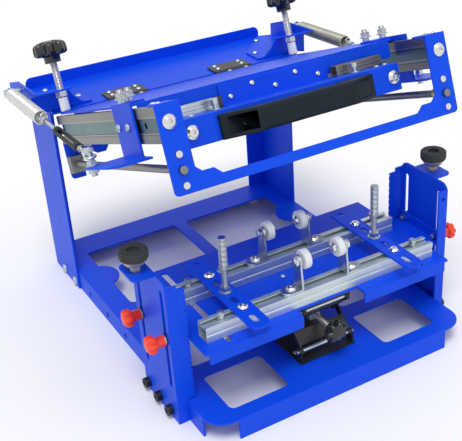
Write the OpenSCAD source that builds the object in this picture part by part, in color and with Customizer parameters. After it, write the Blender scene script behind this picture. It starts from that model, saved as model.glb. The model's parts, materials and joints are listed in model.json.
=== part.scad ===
// Tabletop screen printing press: a bent-sheet base with a height-adjustable table,
// a rear bridge and a sprung tilting head that carries a sliding screen carriage.
// Millimetres. X to the right, Y to the back, Z up. The origin is the middle of the footprint.

/* [Base] */
// Width of the base between its side flanges' outer faces
base_width = 420; // [380:1:460]
// Depth of the whole machine, front flange to rear posts
machine_depth = 570; // [520:1:620]
// Height of the base plate's top face
base_height = 33; // [24:1:50]
// Thickness of the blue sheet steel
sheet = 3; // [2:0.5:4]
// Radius of the base's front corners
base_corner = 31; // [15:1:40]
// Half length of the base's front and rear flanges
base_flange_half = 172; // [150:1:176]
// Width of each front window in the base
front_window_width = 91; // [60:1:110]
// Depth of each front window
front_window_depth = 81; // [50:1:100]
// Distance of each front window's middle from the centre line
front_window_x = 125.5; // [110:0.5:140]
// Distance of the front windows' middle from the front edge
front_window_y = 63.5; // [50:0.5:80]
// Half width of the strut between the rear windows
strut_half = 11; // [8:1:30]
// Outer edge of the rear windows
rear_window_outer = 176; // [150:1:180]
// Front edge of the rear windows, from the machine's back
rear_window_front = 242; // [235:1:246]
// Back edge of the rear windows, from the machine's back
rear_window_back = 58; // [40:1:70]
// Distance from the centre line to the middle of the round bump in each rear window
bump_x = 188; // [186:1:192]
// Distance of the middle of the bump from the machine's back
bump_y = 140; // [130:1:150]
// Radius of the bump
bump_radius = 33; // [28:1:36]
// Inner edge of the middle windows
middle_window_inner = 82; // [80:1:90]
// Outer edge of the middle windows
middle_window_outer = 172; // [160:1:176]
// Front edge of the middle windows, from the machine's back
middle_window_front = 438; // [430:1:440]
// Back edge of the middle windows, from the machine's back
middle_window_back = 266; // [260:1:280]
// Corner radius of the windows
window_radius = 8; // [6:1:20]
// Distances of the free holes in the side flanges from the machine's back
flange_hole_y = [290, 223, 152]; // [120:1:300]
// Height of the free holes in the side flanges
flange_hole_z = 13; // [10:1:20]
// Diameter of the free holes in the side flanges
flange_hole = 9; // [6:0.5:12]

/* [Rear posts and bridge] */
// Depth of the rear posts, from front edge to back
post_depth = 106; // [90:1:120]
// Height of the rear posts
post_height = 315; // [280:1:340]
// Length of the flange turned inward at the back of each post
post_flange = 36; // [20:1:36]
// Length of the tab turned inward at the top of each post
post_tab = 25; // [22:1:30]
// Depth of the bridge plate
bridge_depth = 121; // [115:1:121]
// Height of the flange raised along the back of the bridge plate
bridge_rear_flange = 18; // [10:1:24]
// Half length of the bar under the front edge of the bridge plate
bridge_front_flange_half = 180; // [150:1:181]
// Depth of the bar under the front edge of the bridge plate
bridge_front_flange = 11; // [8:0.5:12]
// Distances of the post screws from the machine's back
post_screw_y = [94, 47]; // [10:1:100]
// Height of the post screws
post_screw_z = 11; // [8:1:20]

/* [Columns] */
// Outer face of the column walls
column_face = 226; // [222:1:232]
// Width of each column along the machine
column_width = 102; // [80:1:120]
// Middle of the columns, from the machine's front
column_middle = 121; // [110:1:130]
// Height of the columns
column_height = 222; // [190:1:222]
// Height of the flanges along the columns' edges
column_flange_height = 214; // [180:1:216]
// Inner edge of the notched flange, from the centre line
notched_edge = 199; // [198.5:0.5:206]
// Distance of the first slot from the notched edge
slot_inset = 13; // [12:0.5:20]
// Distance between the two slots
slot_spacing = 72; // [60:1:76]
// Width of the slots
slot_width = 8; // [7:0.5:12]
// Lower end of the slots
slot_bottom = 55; // [50:1:90]
// Upper end of the slots
slot_top = 205; // [160:1:208]
// Pitch of the height marks notched into the free edge
notch_pitch = 10; // [5:1:20]
// Depth of the notches
notch_depth = 3; // [1:0.5:5]
// Width of the notches
notch_width = 1.4; // [0.8:0.1:3]
// Distances of the column bolts from the edge on the notched side
column_bolt_inset = [21, 55, 91]; // [12:1:95]
// Height of the column bolts
column_bolt_z = 13; // [11:1:20]
// Diameter of the column bolts
column_bolt = 10; // [8:1:12]
// Diameter of the spacers around the column bolts
column_spacer = 15; // [13:0.5:15]
// Width of the tab turned outward at the top of each column
column_tab_width = 48; // [40:1:60]
// Outer end of the tabs, from the centre line
column_tab_end = 255; // [250:1:262]

/* [Bumpers] */
// Distance of the bumpers from the centre line
bumper_x = 240; // [238:1:244]
// Diameter of the rubber pads
bumper_diameter = 38; // [24:1:40]
// Thickness of the rubber pads
bumper_thickness = 11.7; // [8:0.1:14]
// Diameter of the round recess in a pad's top
bumper_recess = 16; // [8:1:24]
// Depth of the recess
recess_depth = 4; // [1:0.5:6]
// Radius of the pads' edges
pad_edge = 2.5; // [1:0.5:4]
// Height of the bare stem between the tab and the cup
bumper_stem = 10; // [8:0.5:14]
// Diameter of the stem
bumper_stud = 8; // [6:1:10]
// Height of the metal cups under the pads
cup_height = 9; // [6:0.1:14]
// Lower diameter of the cups
cup_diameter = 24; // [18:1:30]

/* [Hinges] */
// Height of the head's tilt axis
hinge_z = 318; // [318:0.5:322]
// Distance of the tilt axis from the machine's back
hinge_back = 125; // [122:1:130]
// Tilt of the head at rest
tilt = 20; // [10:0.5:30]
// Middle of each hinge, from the centre line
hinge_x = 92.5; // [70:0.5:120]
// Length of each hinge
hinge_length = 65; // [40:1:90]
// Depth of the fixed leaf behind the axis
leaf_depth = 31; // [24:1:40]
// Thickness of the leaves
leaf = 3; // [2:0.5:4]
// Radius of the knuckles
knuckle_radius = 4.2; // [3.5:0.1:4.5]
// Diameter of the hinge pins
hinge_pin = 4; // [3:0.1:5]

/* [Stop brackets] */
// Inner end of the bracket's foot, from the centre line
bracket_inner = 147; // [140:1:160]
// Outer face of the bracket, from the centre line
bracket_outer = 239; // [230:1:242]
// Front face of the bracket's web, from the machine's back
bracket_front = 112; // [108:1:114]
// Back edge of the bracket, from the machine's back
bracket_back = 7; // [4:1:20]
// Height of the anchor pin for the spring
anchor_z = 343; // [335:1:350]
// Distance of the anchor pin from the machine's back
anchor_y = 65; // [50:1:80]
// Places of the bracket's screws: from the centre line and from the machine's back
bracket_screws_at = [[158, 84], [192, 30]]; // [20:1:200]
// Distance of the stop screws from the centre line
stop_x = 198.5; // [195:0.5:205]
// Distance of the stop screws' contact from the tilt axis
stop_s = 17; // [14:0.5:24]
// Length of the nylon tips
tip_length = 21; // [14:0.5:22]
// Diameter of the nylon tips
tip_diameter = 14; // [10:0.5:18]
// Diameter of the stop screws
stop_screw = 10; // [8:1:12]
// Distance from contact to the bracket's inclined plate
stop_plate_rise = 30; // [28:0.5:34]
// Distance from contact to the star knob
stop_knob_rise = 82; // [70:1:95]
// Diameter of the star knobs on the stop screws
stop_knob = 50; // [40:1:60]
// Height of the star knobs
stop_knob_height = 20; // [14:1:26]

/* [Springs and turnbuckles] */
// Distance of the springs from the centre line
spring_x = 256; // [254:0.5:258]
// Outer diameter of the springs
spring_diameter = 21; // [16:0.5:22]
// Diameter of the spring wire
spring_wire = 2.2; // [1.6:0.1:2.4]
// Number of curls in each spring
spring_curls = 40; // [30:1:44]
// Length of each spring at rest
spring_length = 144; // [130:1:160]
// Length of each lead-in from the middle out to the curls
spring_lead = 6; // [4:0.5:10]
// Diameter of the anchor pins
anchor_pin = 8; // [6:0.5:10]
// Wall of the bushes that the springs hang on
bush_wall = 2.2; // [1.5:0.1:3]
// Width of the bushes
bush_width = 10; // [8:1:12]
// Position of the turnbuckles' eyes, forward of the tilt axis
eye_s = 262; // [250:1:270]
// Position of the turnbuckles' eyes, up from the tilt axis
eye_n = -50; // [-52:0.5:-46]
// Radius of the eye rings
eye_radius = 6.5; // [6.4:0.1:8]
// Diameter of the eye rings' wire
eye_wire = 3.6; // [3:0.1:4.4]
// Diameter of the turnbuckles' threaded shanks
shank_diameter = 5; // [4:0.5:6]
// Near end of the turnbuckles' bodies
buckle_near = 37; // [30:1:50]
// Far end of the turnbuckles' bodies
buckle_far = 118; // [100:1:130]

/* [Head plate] */
// Half width of the head plate
head_half = 205.5; // [200:0.5:205.5]
// Rear edge of the head plate, from the tilt axis
head_rear = 8; // [6:0.5:12]
// Front edge of the head plate, from the tilt axis
head_front = 291; // [270:1:300]
// Depth of the flange turned down along the head's front
head_flange = 25; // [20:1:29]
// Radius of the head plate's front corners
head_corner = 14; // [8:1:20]

/* [Side brackets] */
// Inner face of the side brackets, from the centre line
side_face = 206; // [205.8:0.1:208]
// Rear edge of the side brackets
side_rear = 246; // [240:1:252]
// Front edge of the side brackets
side_front = 313; // [300:1:320]
// Lower edge of the side brackets' walls
side_low = -62; // [-63:0.5:-55]
// Front edge of the arms over the bumpers
arm_front = 340; // [330:1:345]
// Inner edge of the side brackets' feet on the head plate
foot_inner = 176; // [170:1:180]
// Positions of the studs standing on the feet: across, forward
stud_places = [[201, 268], [184, 250]]; // [170:1:280]
// Diameter of the studs on the feet
head_stud = 8; // [6:0.5:8]
// Positions of the side screws along the side brackets
side_screw_s = [257, 290]; // [250:1:308]
// Height of the side screws
side_screw_n = -26.5; // [-28:0.5:-24]

/* [Handle plate] */
// Half width of the raised tab of the handle plate
tab_half = 82; // [70:1:90]
// Upper edge of the raised tab
tab_top = -3; // [-6:0.5:-1]
// Half width of the handle plate
plate_half = 162; // [150:1:170]
// Front face of the handle plate, from the tilt axis
plate_front = 343; // [335:1:350]
// Upper face of the handle plate's shelf
shelf_n = -30; // [-34:0.5:-27]
// Lower edge of the handle plate
plate_low = -66; // [-70:0.5:-60]
// Positions of the tab's screws: across, up
tab_screws = [[-67, -21], [0, -21], [67, -21], [-33, -11], [33, -11]]; // [-80:1:80]
// Distance of the big front screws from the centre line
front_screw_x = 151; // [140:1:154]
// Height of the big front screws
front_screw_n = -47.5; // [-56:0.5:-42]
// Positions of the bolts standing on the shelf: across, forward
shelf_bolt = [105.5, 324]; // [100:0.5:330]
// Positions of the flat screws on the shelf, across
shelf_screw_x = [140, 154]; // [125:1:156]
// Height of the squeegee rails on the shelf
holder_height = 14; // [8:1:18]
// Ends of the left holder rail
left_holder = [-158, -94]; // [-170:1:-80]
// Ends of the right holder rail
right_holder = [86, 160]; // [80:1:170]
// Length of the black cap on the left rail's inner end
holder_cap = 6; // [3:1:10]
// Depth of the squeegee rails
holder_depth = 16; // [12:1:18]

/* [Handle] */
// Half length of the handle at the plate
handle_half = 115; // [100:1:130]
// Half length of the handle's grip
grip_half = 68; // [55:1:80]
// Reach of the handle from the plate
handle_reach = 29; // [24:1:36]
// Upper edge of the handle
handle_top = -35; // [-40:0.5:-32]
// Height of the handle
handle_height = 31; // [24:1:34]
// Depth of the finger gap behind the grip
finger_gap = 15; // [12:1:18]
// Half length of the finger gap
finger_half = 60; // [45:1:64]

/* [Slides] */
// Distance of the slides' backs from the centre line
slide_inner = 197; // [196:0.5:198]
// Width of the slides
slide_width = 8; // [6:0.5:8]
// Upper edge of the slides
slide_top = -5; // [-8:0.5:-5]
// Height of the slides
slide_height = 43; // [36:1:45]
// Rear end of the slides' outer members
slide_rear = -21; // [-24:1:-10]
// Sheet of the slides' outer members
slide_sheet = 1.4; // [1:0.1:2]
// Width of the lips over the slides' inner members
slide_lip = 13; // [8:0.5:15]
// Place of the large hole in the slides' inner members, forward of the axis
slide_hole_s = 335; // [320:1:350]
// Diameter of that hole
slide_hole = 8; // [5:0.5:10]

/* [Carriage] */
// Front face of the front frame, from the tilt axis
frame_front = 390; // [370:1:400]
// Outer edge of the front frame's arms
frame_half = 210; // [206:1:212]
// Inner edge of the front frame's arms
frame_arm_inner = 178; // [170:1:184]
// Upper edge of the front frame's arms
frame_top = -2; // [-5:0.5:-1]
// Lower edge of the front frame
frame_low = -109.5; // [-112:0.5:-100]
// Upper edge of the front frame's cross bar
frame_bar = -97; // [-100:0.5:-90]
// Upper edge of the gussets between arms and bar
frame_gusset = -88; // [-92:0.5:-80]
// Inner end of the gussets
frame_gusset_inner = 145; // [130:1:160]
// Depth of the lip turned back along the front frame's lower edge
frame_lip = 16; // [8:1:20]
// Inner end of the lip
frame_lip_half = 172; // [120:1:175]
// Depth of the tabs turned back over the slides
frame_tab = 30; // [20:1:40]
// Height of the big screws in the front frame
arm_screw_n = -24; // [-30:0.5:-18]
// Outer edge of the rear frame's arms
rear_half = 205; // [200:1:205]
// Inner edge of the rear frame's arms
rear_arm_inner = 182; // [176:1:188]
// Lower edge of the rear frame's arms
rear_low = -103; // [-108:0.5:-95]
// Upper and lower edges of the rear frame's cross bar
rear_bar = [-45, -60]; // [-70:0.5:-35]
// Distance of the rear stops' screws from the centre line
rear_stop_x = 170; // [160:1:175]
// Lower edge of the rear frame's gussets
rear_gusset = -74; // [-78:0.5:-66]
// Inner end of the rear frame's gussets
rear_gusset_inner = 132; // [120:1:150]
// Distance of the guide rods from the centre line
rod_x = 194; // [190:0.5:194]
// Height of the guide rods
rod_n = -81; // [-84:0.5:-78]
// Diameter of the guide rods
rod_diameter = 10; // [8:0.5:12]
// Distance of the bushing bolts above and below the rods
bushing_bolt = 18.5; // [16:0.5:20]
// Diameter of the bushings' barrels
bushing_barrel = 18; // [16:0.5:20]

/* [Table] */
// Height of the table's top face
table_z = 127; // [125:0.5:130]
// Half width of the table in front of and behind the columns
table_half = 197; // [190:1:197.5]
// Front edge of the table, from the machine's front
table_front = 30; // [24:1:40]
// Back edge of the table, from the machine's front
table_back = 248; // [240:1:270]
// Depth of the flange turned down along the table's front
table_flange = 18; // [10:1:22]
// Height of the ears turned up between the columns' flanges
table_ear = 15; // [12:1:20]
// Half width of the notch in the table's front edge
notch_half = 50; // [42:1:60]
// Back of the notch in the table's front edge
notch_back = 48; // [40:1:50]
// Distance of the table's long slots from the centre line
table_slot_x = 156; // [150:1:165]
// Ends of the table's long slots, from the machine's front
table_slot = [39, 236]; // [36:1:250]
// Width of the table's long slots
table_slot_width = 9; // [8.5:0.5:12]
// Height of the clamping studs' axis
knob_z = 132; // [132:0.5:134]
// Diameter of the clamping studs
clamp_stud = 6; // [5:0.5:7]

/* [Clamp knobs] */
// Diameter of the red knobs
knob_diameter = 25; // [20:1:30]
// Length of the red knobs' heads
knob_head = 14; // [10:1:18]
// Diameter of the red knobs' necks
knob_neck = 15; // [12:1:18]
// Length of the red knobs' necks
knob_neck_length = 12; // [8:1:14]

/* [Rails and rollers] */
// Half length of the rails
rail_half = 184; // [170:1:190]
// Width of the rails
rail_width = 24; // [20:1:28]
// Height of the rails
rail_height = 23; // [18:1:26]
// Wall of the rails
rail_wall = 2; // [1.5:0.1:2.5]
// Width of the opening along the rails' top
rail_opening = 10; // [9:0.5:12]
// Middle of the front rail, from the machine's front
front_rail_y = 62; // [60:1:66]
// Middle of the rear rail, from the machine's front
rear_rail_y = 154; // [145:1:156]
// Distance of the cross plates from the centre line
cross_x = 123; // [110:1:130]
// Width of the cross plates
cross_width = 30; // [24:1:32]
// Ends of the cross plates, from the machine's front
cross_ends = [10, 206]; // [5:1:215]
// Distance of the holder posts from the machine's front
post_y = 108; // [100:1:116]
// Top of the holder posts
post_top = 236; // [220:1:238]
// Distance of the rollers from the centre line
roller_x = 27; // [24:1:40]
// Diameter of the rollers
roller_diameter = 27; // [22:0.5:27]
// Width of the rollers
roller_width = 10; // [8:0.5:12]
// Height of the rollers' axles
roller_z = 192.5; // [185:0.5:192.5]
// Distance of the roller brackets' screws from the centre line
roller_foot_x = 49; // [46:1:56]

/* [Jack] */
// Half width of the jack's base along X
jack_half = 46; // [40:1:50]
// Front edge of the jack's base, from the machine's front
jack_front = 64; // [60:1:70]
// Back edge of the jack's base
jack_back = 152; // [140:1:165]
// Distances of the lower and upper pivots from the machine's front
jack_pivot_y = [56, 160]; // [50:1:170]
// Height of the lower pivots
jack_low_z = 50; // [46:0.5:54]
// Height of the upper pivots
jack_high_z = 114; // [110:0.5:118]
// Distance the screw's blocks stand in from the pivots
jack_reach = 32; // [28:1:36]
// Diameter of the pivot rods
pivot_rod = 6; // [5:0.5:7]
// Diameter of the screw
jack_screw = 8; // [6:0.5:10]
// Diameter of the jack's star knob
jack_knob = 34; // [28:1:38]
// Radial play of the arms' eyes on the blocks' rods
eye_play = 0.5; // [0.5:0.1:1]
// Thickness of the jack's sheet
jack_sheet = 2.5; // [2:0.1:3]
// Distance of the screws through the table from the jack's upper pivots
jack_head_inset = 30; // [28:1:34]
// Distance of those screws from the centre line
jack_head_screw_x = 20; // [12:1:24]

/* [Fits] */
// Radial clearance of screws and pins in their holes
fit = 0.05; // [0.02:0.01:0.1]
// Gap left where two bodies come close
gap = 0.3; // [0.3:0.1:1]
// Diameter of the small screws
small_screw = 4; // [3:0.5:5]
// Diameter of the large button-head screws
large_screw = 10; // [8:0.5:10]

/* [Hidden] */
$fn = 48;
hex = 6;
yf = -machine_depth / 2;
yb = machine_depth / 2;
base_depth = machine_depth - sheet;
base_half = base_width / 2;
hinge_y = yb - hinge_back;
column_y = yf + column_middle;
column_inner = column_face - sheet;
deck = hinge_z;
deck_low = deck - sheet;
frame_back = frame_front - sheet;
plate_back = plate_front - sheet;
side_out = side_face + sheet;
bolt_z = table_z + rail_height;
cross_top = bolt_z + sheet;
slide_play = 0.1;
inner_slide_x = [slide_inner + slide_sheet + slide_play,
    slide_inner + slide_width - slide_sheet - slide_play];
jack_mid_z = (jack_low_z + jack_high_z) / 2;
jack_rise = jack_mid_z - jack_low_z;
jack_angle = atan2(jack_rise, jack_reach);
jack_arm = norm([jack_reach, jack_rise]);
blue = [0.07, 0.24, 0.80];
zinc = [0.68, 0.76, 0.80];
steel = [0.62, 0.62, 0.60];
chrome = [0.80, 0.80, 0.80];
black = [0.07, 0.08, 0.09];
slate = [0.11, 0.16, 0.21];
red = [0.95, 0.16, 0.06];
white = [0.90, 0.91, 0.90];
tan_zinc = [0.66, 0.60, 0.48];
rubber = [0.14, 0.14, 0.15];
teal = [0.42, 0.55, 0.57];

// A point of the head, forward s and up n from the tilt axis, in the machine's Y and Z
function head_point(s, n) = [
    hinge_y - s * cos(tilt) + n * sin(tilt),
    hinge_z + s * sin(tilt) + n * cos(tilt)];
eye_yz = head_point(eye_s, eye_n);
anchor_yz = [yb - anchor_y, anchor_z];
pull = anchor_yz - eye_yz;
pull_length = norm(pull);
// Angle of the pull line above the horizontal, looking along +X with the back at the right
pull_angle = atan2(pull.y, pull.x);
bush_radius = anchor_pin / 2 + bush_wall;
link_length = pull_length - spring_length - bush_radius;

// Block between two values on each axis
module slab(x, y, z) {
    translate([min(x), min(y), min(z)])
        cube([abs(x[1] - x[0]), abs(y[1] - y[0]), abs(z[1] - z[0])]);
}
// The children and their mirror image at the other side of the machine
module both() {
    children();
    mirror([1, 0, 0]) children();
}
// The children on the right, or mirrored to the left
module at_side(side) {
    if (side > 0) children();
    if (side < 0) mirror([1, 0, 0]) children();
}
// Children drawn in the head's frame: X across, -Y forward, Z up from the tilt axis
module on_head() {
    translate([0, hinge_y, hinge_z]) rotate([-tilt, 0, 0]) children();
}
// Plain rod along Z
module rod(d, z) {
    translate([0, 0, min(z)]) cylinder(d = d, h = abs(z[1] - z[0]));
}
// Rod along X
module rod_x(d, x) {
    translate([min(x), 0, 0]) rotate([0, 90, 0]) cylinder(d = d, h = abs(x[1] - x[0]));
}
// Rod along Y
module rod_y(d, y) {
    translate([0, min(y), 0]) rotate([-90, 0, 0]) cylinder(d = d, h = abs(y[1] - y[0]));
}
// Rectangle with rounded corners
module rounded(x, y, r) {
    square_x = x[1] - x[0];
    square_y = y[1] - y[0];
    translate([x[0] + r, y[0]]) square([square_x - 2 * r, square_y]);
    translate([x[0], y[0] + r]) square([square_x, square_y - 2 * r]);
    for (cx = [x[0] + r, x[1] - r], cy = [y[0] + r, y[1] - r])
        translate([cx, cy]) circle(r);
}
// Slot with round ends along Y, cut through a plate
module slot_y(width, y, z) {
    translate([-width / 2, 0, 0]) slab([0, width], [y[0] + width / 2, y[1] - width / 2], z);
    for (end = [y[0] + width / 2, y[1] - width / 2]) translate([0, end, 0]) rod(width, z);
}
// Hex nut on z = 0
module nut(size, height) {
    difference() {
        cylinder(d = size * 1.85, h = height, $fn = hex);
        translate([0, 0, -1]) cylinder(d = size + 2 * fit, h = height + 2);
    }
}
// Button-head screw with its head on z = 0, its shank below and a hex socket
module button_screw(size, length) {
    head = size * 1.8;
    height = size * 0.5;
    difference() {
        union() {
            cylinder(d = head, h = height * 0.35);
            translate([0, 0, height * 0.35])
                cylinder(d1 = head, d2 = head * 0.62, h = height * 0.65);
        }
        translate([0, 0, height * 0.35]) cylinder(d = size * 0.62, h = height, $fn = hex);
    }
    rod(size, [-length, 0]);
}
// Socket-head bolt with its head on z = 0 and its shank below
module socket_bolt(size, length) {
    difference() {
        cylinder(d = size * 1.5, h = size * 0.8);
        translate([0, 0, size * 0.4]) cylinder(d = size * 0.8, h = size, $fn = hex);
    }
    rod(size, [-length, 0]);
}
// Fluted star knob standing on z = 0 with a neck below it
module star_knob(diameter, height, lobes, neck, neck_length, bore) {
    flute = diameter * 0.14;
    cap = height * 0.12;
    points = lobes * 8;
    difference() {
        union() {
            linear_extrude(height) polygon([for (k = [0 : points - 1])
                let (a = k * 360 / points, r = diameter / 2 - flute * (1 - cos(a * lobes)) / 2)
                r * [cos(a), sin(a)]]);
            rod(diameter * 0.5, [height - cap, height + cap]);
            rod(neck, [-neck_length, cap]);
        }
        rod(bore, [-neck_length - 1, height * 0.7]);
    }
}

/* Base body */
module column_bolt_places() {
    for (inset = column_bolt_inset)
        translate([-base_half, column_y - column_width / 2 + inset, column_bolt_z]) children();
}
// The right column is the left one turned half a turn about the machine's upright axis
module turned() {
    translate([0, 2 * column_y, 0]) rotate(180) children();
}
module post_screw_places() {
    for (y = post_screw_y) translate([base_half, yb - y, post_screw_z]) children();
}
module rear_window() {
    linear_extrude(base_height + 1) difference() {
        rounded([strut_half, rear_window_outer], [yb - rear_window_front, yb - rear_window_back],
            window_radius);
        translate([bump_x, yb - bump_y]) circle(bump_radius);
    }
}
module middle_window() {
    linear_extrude(base_height + 1)
        rounded([middle_window_inner, middle_window_outer],
            [yb - middle_window_front, yb - middle_window_back], window_radius);
}
module base_plate() color(blue) {
    top = [base_height - sheet, base_height];
    side = [base_half - sheet, base_half];
    difference() {
        union() {
            slab([-base_half, base_half], [yf + base_corner, yf + base_depth], top);
            slab([-base_half + base_corner, base_half - base_corner],
                [yf, yf + base_corner], top);
            both() {
                translate([base_half - base_corner, yf + base_corner, top[0]])
                    cylinder(r = base_corner, h = sheet);
                slab(side, [yf + base_corner, yf + base_depth], [0, base_height]);
            }
            for (y = [yf, yf + base_depth - sheet])
                slab([-base_flange_half, base_flange_half], [y, y + sheet], [0, base_height]);
        }
        both() {
            translate([0, 0, -1]) rear_window();
            translate([0, 0, -1]) middle_window();
            translate([front_window_x, yf + front_window_y, -1])
                linear_extrude(base_height + 2)
                    rounded([-front_window_width / 2, front_window_width / 2],
                        [-front_window_depth / 2, front_window_depth / 2], window_radius);
            post_screw_places() rod_x(8 + 2 * fit, [-2 * sheet, sheet]);
            for (y = flange_hole_y) translate([base_half, yb - y, flange_hole_z])
                rod_x(flange_hole, [-2 * sheet, sheet]);
        }
        column_bolt_places() rod_x(column_bolt + 2 * fit, [-sheet, 2 * sheet]);
        turned() column_bolt_places() rod_x(column_bolt + 2 * fit, [-sheet, 2 * sheet]);
        for (x = [-jack_half + 8, jack_half - 8], y = [jack_front + 10, jack_back - 10])
            translate([x, yf + y, 0]) rod(small_screw + 2 * fit, [0, base_height + 1]);
    }
}
module post(side) color(blue) at_side(side) {
    front = yb - post_depth;
    face = [base_half, base_half + sheet];
    difference() {
        union() {
            slab(face, [front, yb], [0, post_height]);
            slab([base_half + sheet - post_flange, base_half], [yb - sheet, yb],
                [0, post_height]);
            slab([base_half - post_tab, base_half], [front + 8, yb - sheet],
                [post_height - sheet, post_height]);
        }
        post_screw_places() rod_x(8 + 2 * fit, [-sheet, 2 * sheet]);
        bracket_screw_places() rod(5 + 2 * fit, [-3 * sheet, sheet]);
    }
}
module post_screws() color(chrome) both() post_screw_places() translate([sheet, 0, 0])
    rotate([0, 90, 0]) {
        button_screw(8, 2 * sheet + 6);
        translate([0, 0, -2 * sheet - 5]) difference() {
            cylinder(d = 14, h = 5, $fn = hex);
            rod(7, [-1, 6]);
        }
    }
module bridge() color(blue) {
    y = [yb - bridge_depth, yb];
    half = base_half + sheet;
    corner = 10;
    difference() {
        union() {
            slab([-half, half], y, [deck_low, deck]);
            // Stiffener bar along the front edge, tacked under the plate
            slab([-bridge_front_flange_half, bridge_front_flange_half], [y[0], y[0] + sheet],
                [deck_low - bridge_front_flange, deck_low - fit]);
            slab([-half, half], [y[1] - sheet, y[1]], [deck, deck + bridge_rear_flange - corner]);
            slab([-half + corner, half - corner], [y[1] - sheet, y[1]],
                [deck, deck + bridge_rear_flange]);
            both() translate([half - corner, y[1] - sheet, deck + bridge_rear_flange - corner])
                rod_y(2 * corner, [0, sheet]);
        }
        both() {
            bracket_screw_places() rod(5 + 2 * fit, [-2 * sheet, sheet]);
            fixed_leaf_screw_places() rod(small_screw + 2 * fit, [-2 * sheet, sheet]);
            // Room for the knuckles at the front edge
            translate([hinge_x, hinge_y, hinge_z])
                rod_x(2 * (knuckle_radius + gap), [-hinge_length / 2 - 1, hinge_length / 2 + 1]);
        }
    }
}
// The stop bracket holds the stop screw over the head and the spring's rear end
module bracket_screw_places() {
    for (p = bracket_screws_at) translate([p[0], yb - p[1], deck]) children();
}
// Along the stop screw: up from the contact on the raised head plate
module on_stop() {
    on_head() translate([stop_x, -stop_s, gap]) children();
}
module stop_bracket(side) color(blue) at_side(side) {
    front = yb - bracket_front;
    back = yb - bracket_back;
    rise = deck + 32;
    out = [bracket_outer - sheet, bracket_outer];
    difference() {
        union() {
            translate([0, 0, deck]) linear_extrude(sheet) polygon([
                [bracket_inner, front], [bracket_outer, front], [bracket_outer, back - 12],
                [bracket_inner + 60, back], [bracket_inner, back - 66]]);
            translate([0, front + sheet, 0]) rotate([90, 0, 0]) linear_extrude(sheet) polygon([
                [bracket_inner, deck], [bracket_inner + 14, deck + 4],
                [bracket_inner + 26, deck + 14], [bracket_inner + 33, deck + 26],
                [bracket_inner + 37, rise - 5], [bracket_outer, rise - 5], [bracket_outer, deck]]);
            rotate([90, 0, 90]) translate([0, 0, out[0]]) linear_extrude(sheet) polygon([
                [front, deck - 4], [front, rise - 5], [front - 24, rise + 4.5],
                [front - 24, rise + 8], [front + 60, rise + 3], [back, rise - 12],
                [back, deck - 12], [front + 46, deck - 15]]);
            on_stop() slab([bracket_inner + 37 - stop_x, out[1] - stop_x], [-10, 31],
                [stop_plate_rise, stop_plate_rise + sheet]);
        }
        on_stop() rod(stop_screw + 2 * fit, [0, 2 * stop_plate_rise]);
        bracket_screw_places() rod(5 + 2 * fit, [-sheet, 2 * sheet]);
        translate([0, anchor_yz.x, anchor_yz.y]) rod_x(anchor_pin - 2 + 2 * fit, out + [-1, 1]);
        // Room for the post's wall under the bracket
        slab([0, base_half + sheet], [front - 40, back + 1], [0, deck]);
    }
}
module bracket_screws() color(zinc) both() bracket_screw_places()
    translate([0, 0, sheet]) button_screw(5, 2 * sheet + 6);
module anchor_pins() color(zinc) both() translate([0, anchor_yz.x, anchor_yz.y]) {
    rod_x(anchor_pin, [bracket_outer, spring_x + 6]);
    rod_x(anchor_pin - 2, [bracket_outer - sheet - 4, bracket_outer]);
    translate([spring_x + 6, 0, 0]) rod_x(anchor_pin + 4, [0, 2]);
    translate([bracket_outer - sheet - 5, 0, 0]) rotate([0, 90, 0]) difference() {
        cylinder(d = 13, h = 5, $fn = hex);
        rod(anchor_pin - 2 + 2 * fit, [-1, 6]);
    }
}
module fixed_leaf_screw_places() {
    for (x = [-22, 22], y = [11, 24]) translate([hinge_x + x, hinge_y + y, deck]) children();
}
module knuckle(x) {
    difference() {
        rod_x(2 * knuckle_radius, x);
        rod_x(hinge_pin + 2 * fit, x + [-1, 1]);
    }
}
module hinge_leaves() color(black) both() translate([hinge_x, hinge_y, hinge_z]) {
    half = hinge_length / 2;
    third = hinge_length / 6;
    difference() {
        union() {
            linear_extrude(leaf) rounded([-half, half], [knuckle_radius + gap, leaf_depth], 3);
            for (x = [[-half, -third - gap], [third + gap, half]])
                slab(x, [0, knuckle_radius + 2], [0.5, leaf]);
        }
        for (x = [-22, 22], y = [11, 24]) translate([x, y, 0])
            rod(small_screw + 2 * fit, [-1, leaf + 1]);
        rod_x(2 * knuckle_radius - 1, [-half - 1, half + 1]);
        slab([-half - 1, half + 1], [-knuckle_radius - 1, 0], [-leaf, 2 * leaf]);
    }
    knuckle([-half, -third - gap]);
    knuckle([third + gap, half]);
    rod_x(hinge_pin, [-half - 1, half + 1]);
}
module hinge_screws() color(zinc) both() fixed_leaf_screw_places()
    translate([0, 0, leaf]) button_screw(small_screw, leaf + sheet + 3);
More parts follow.
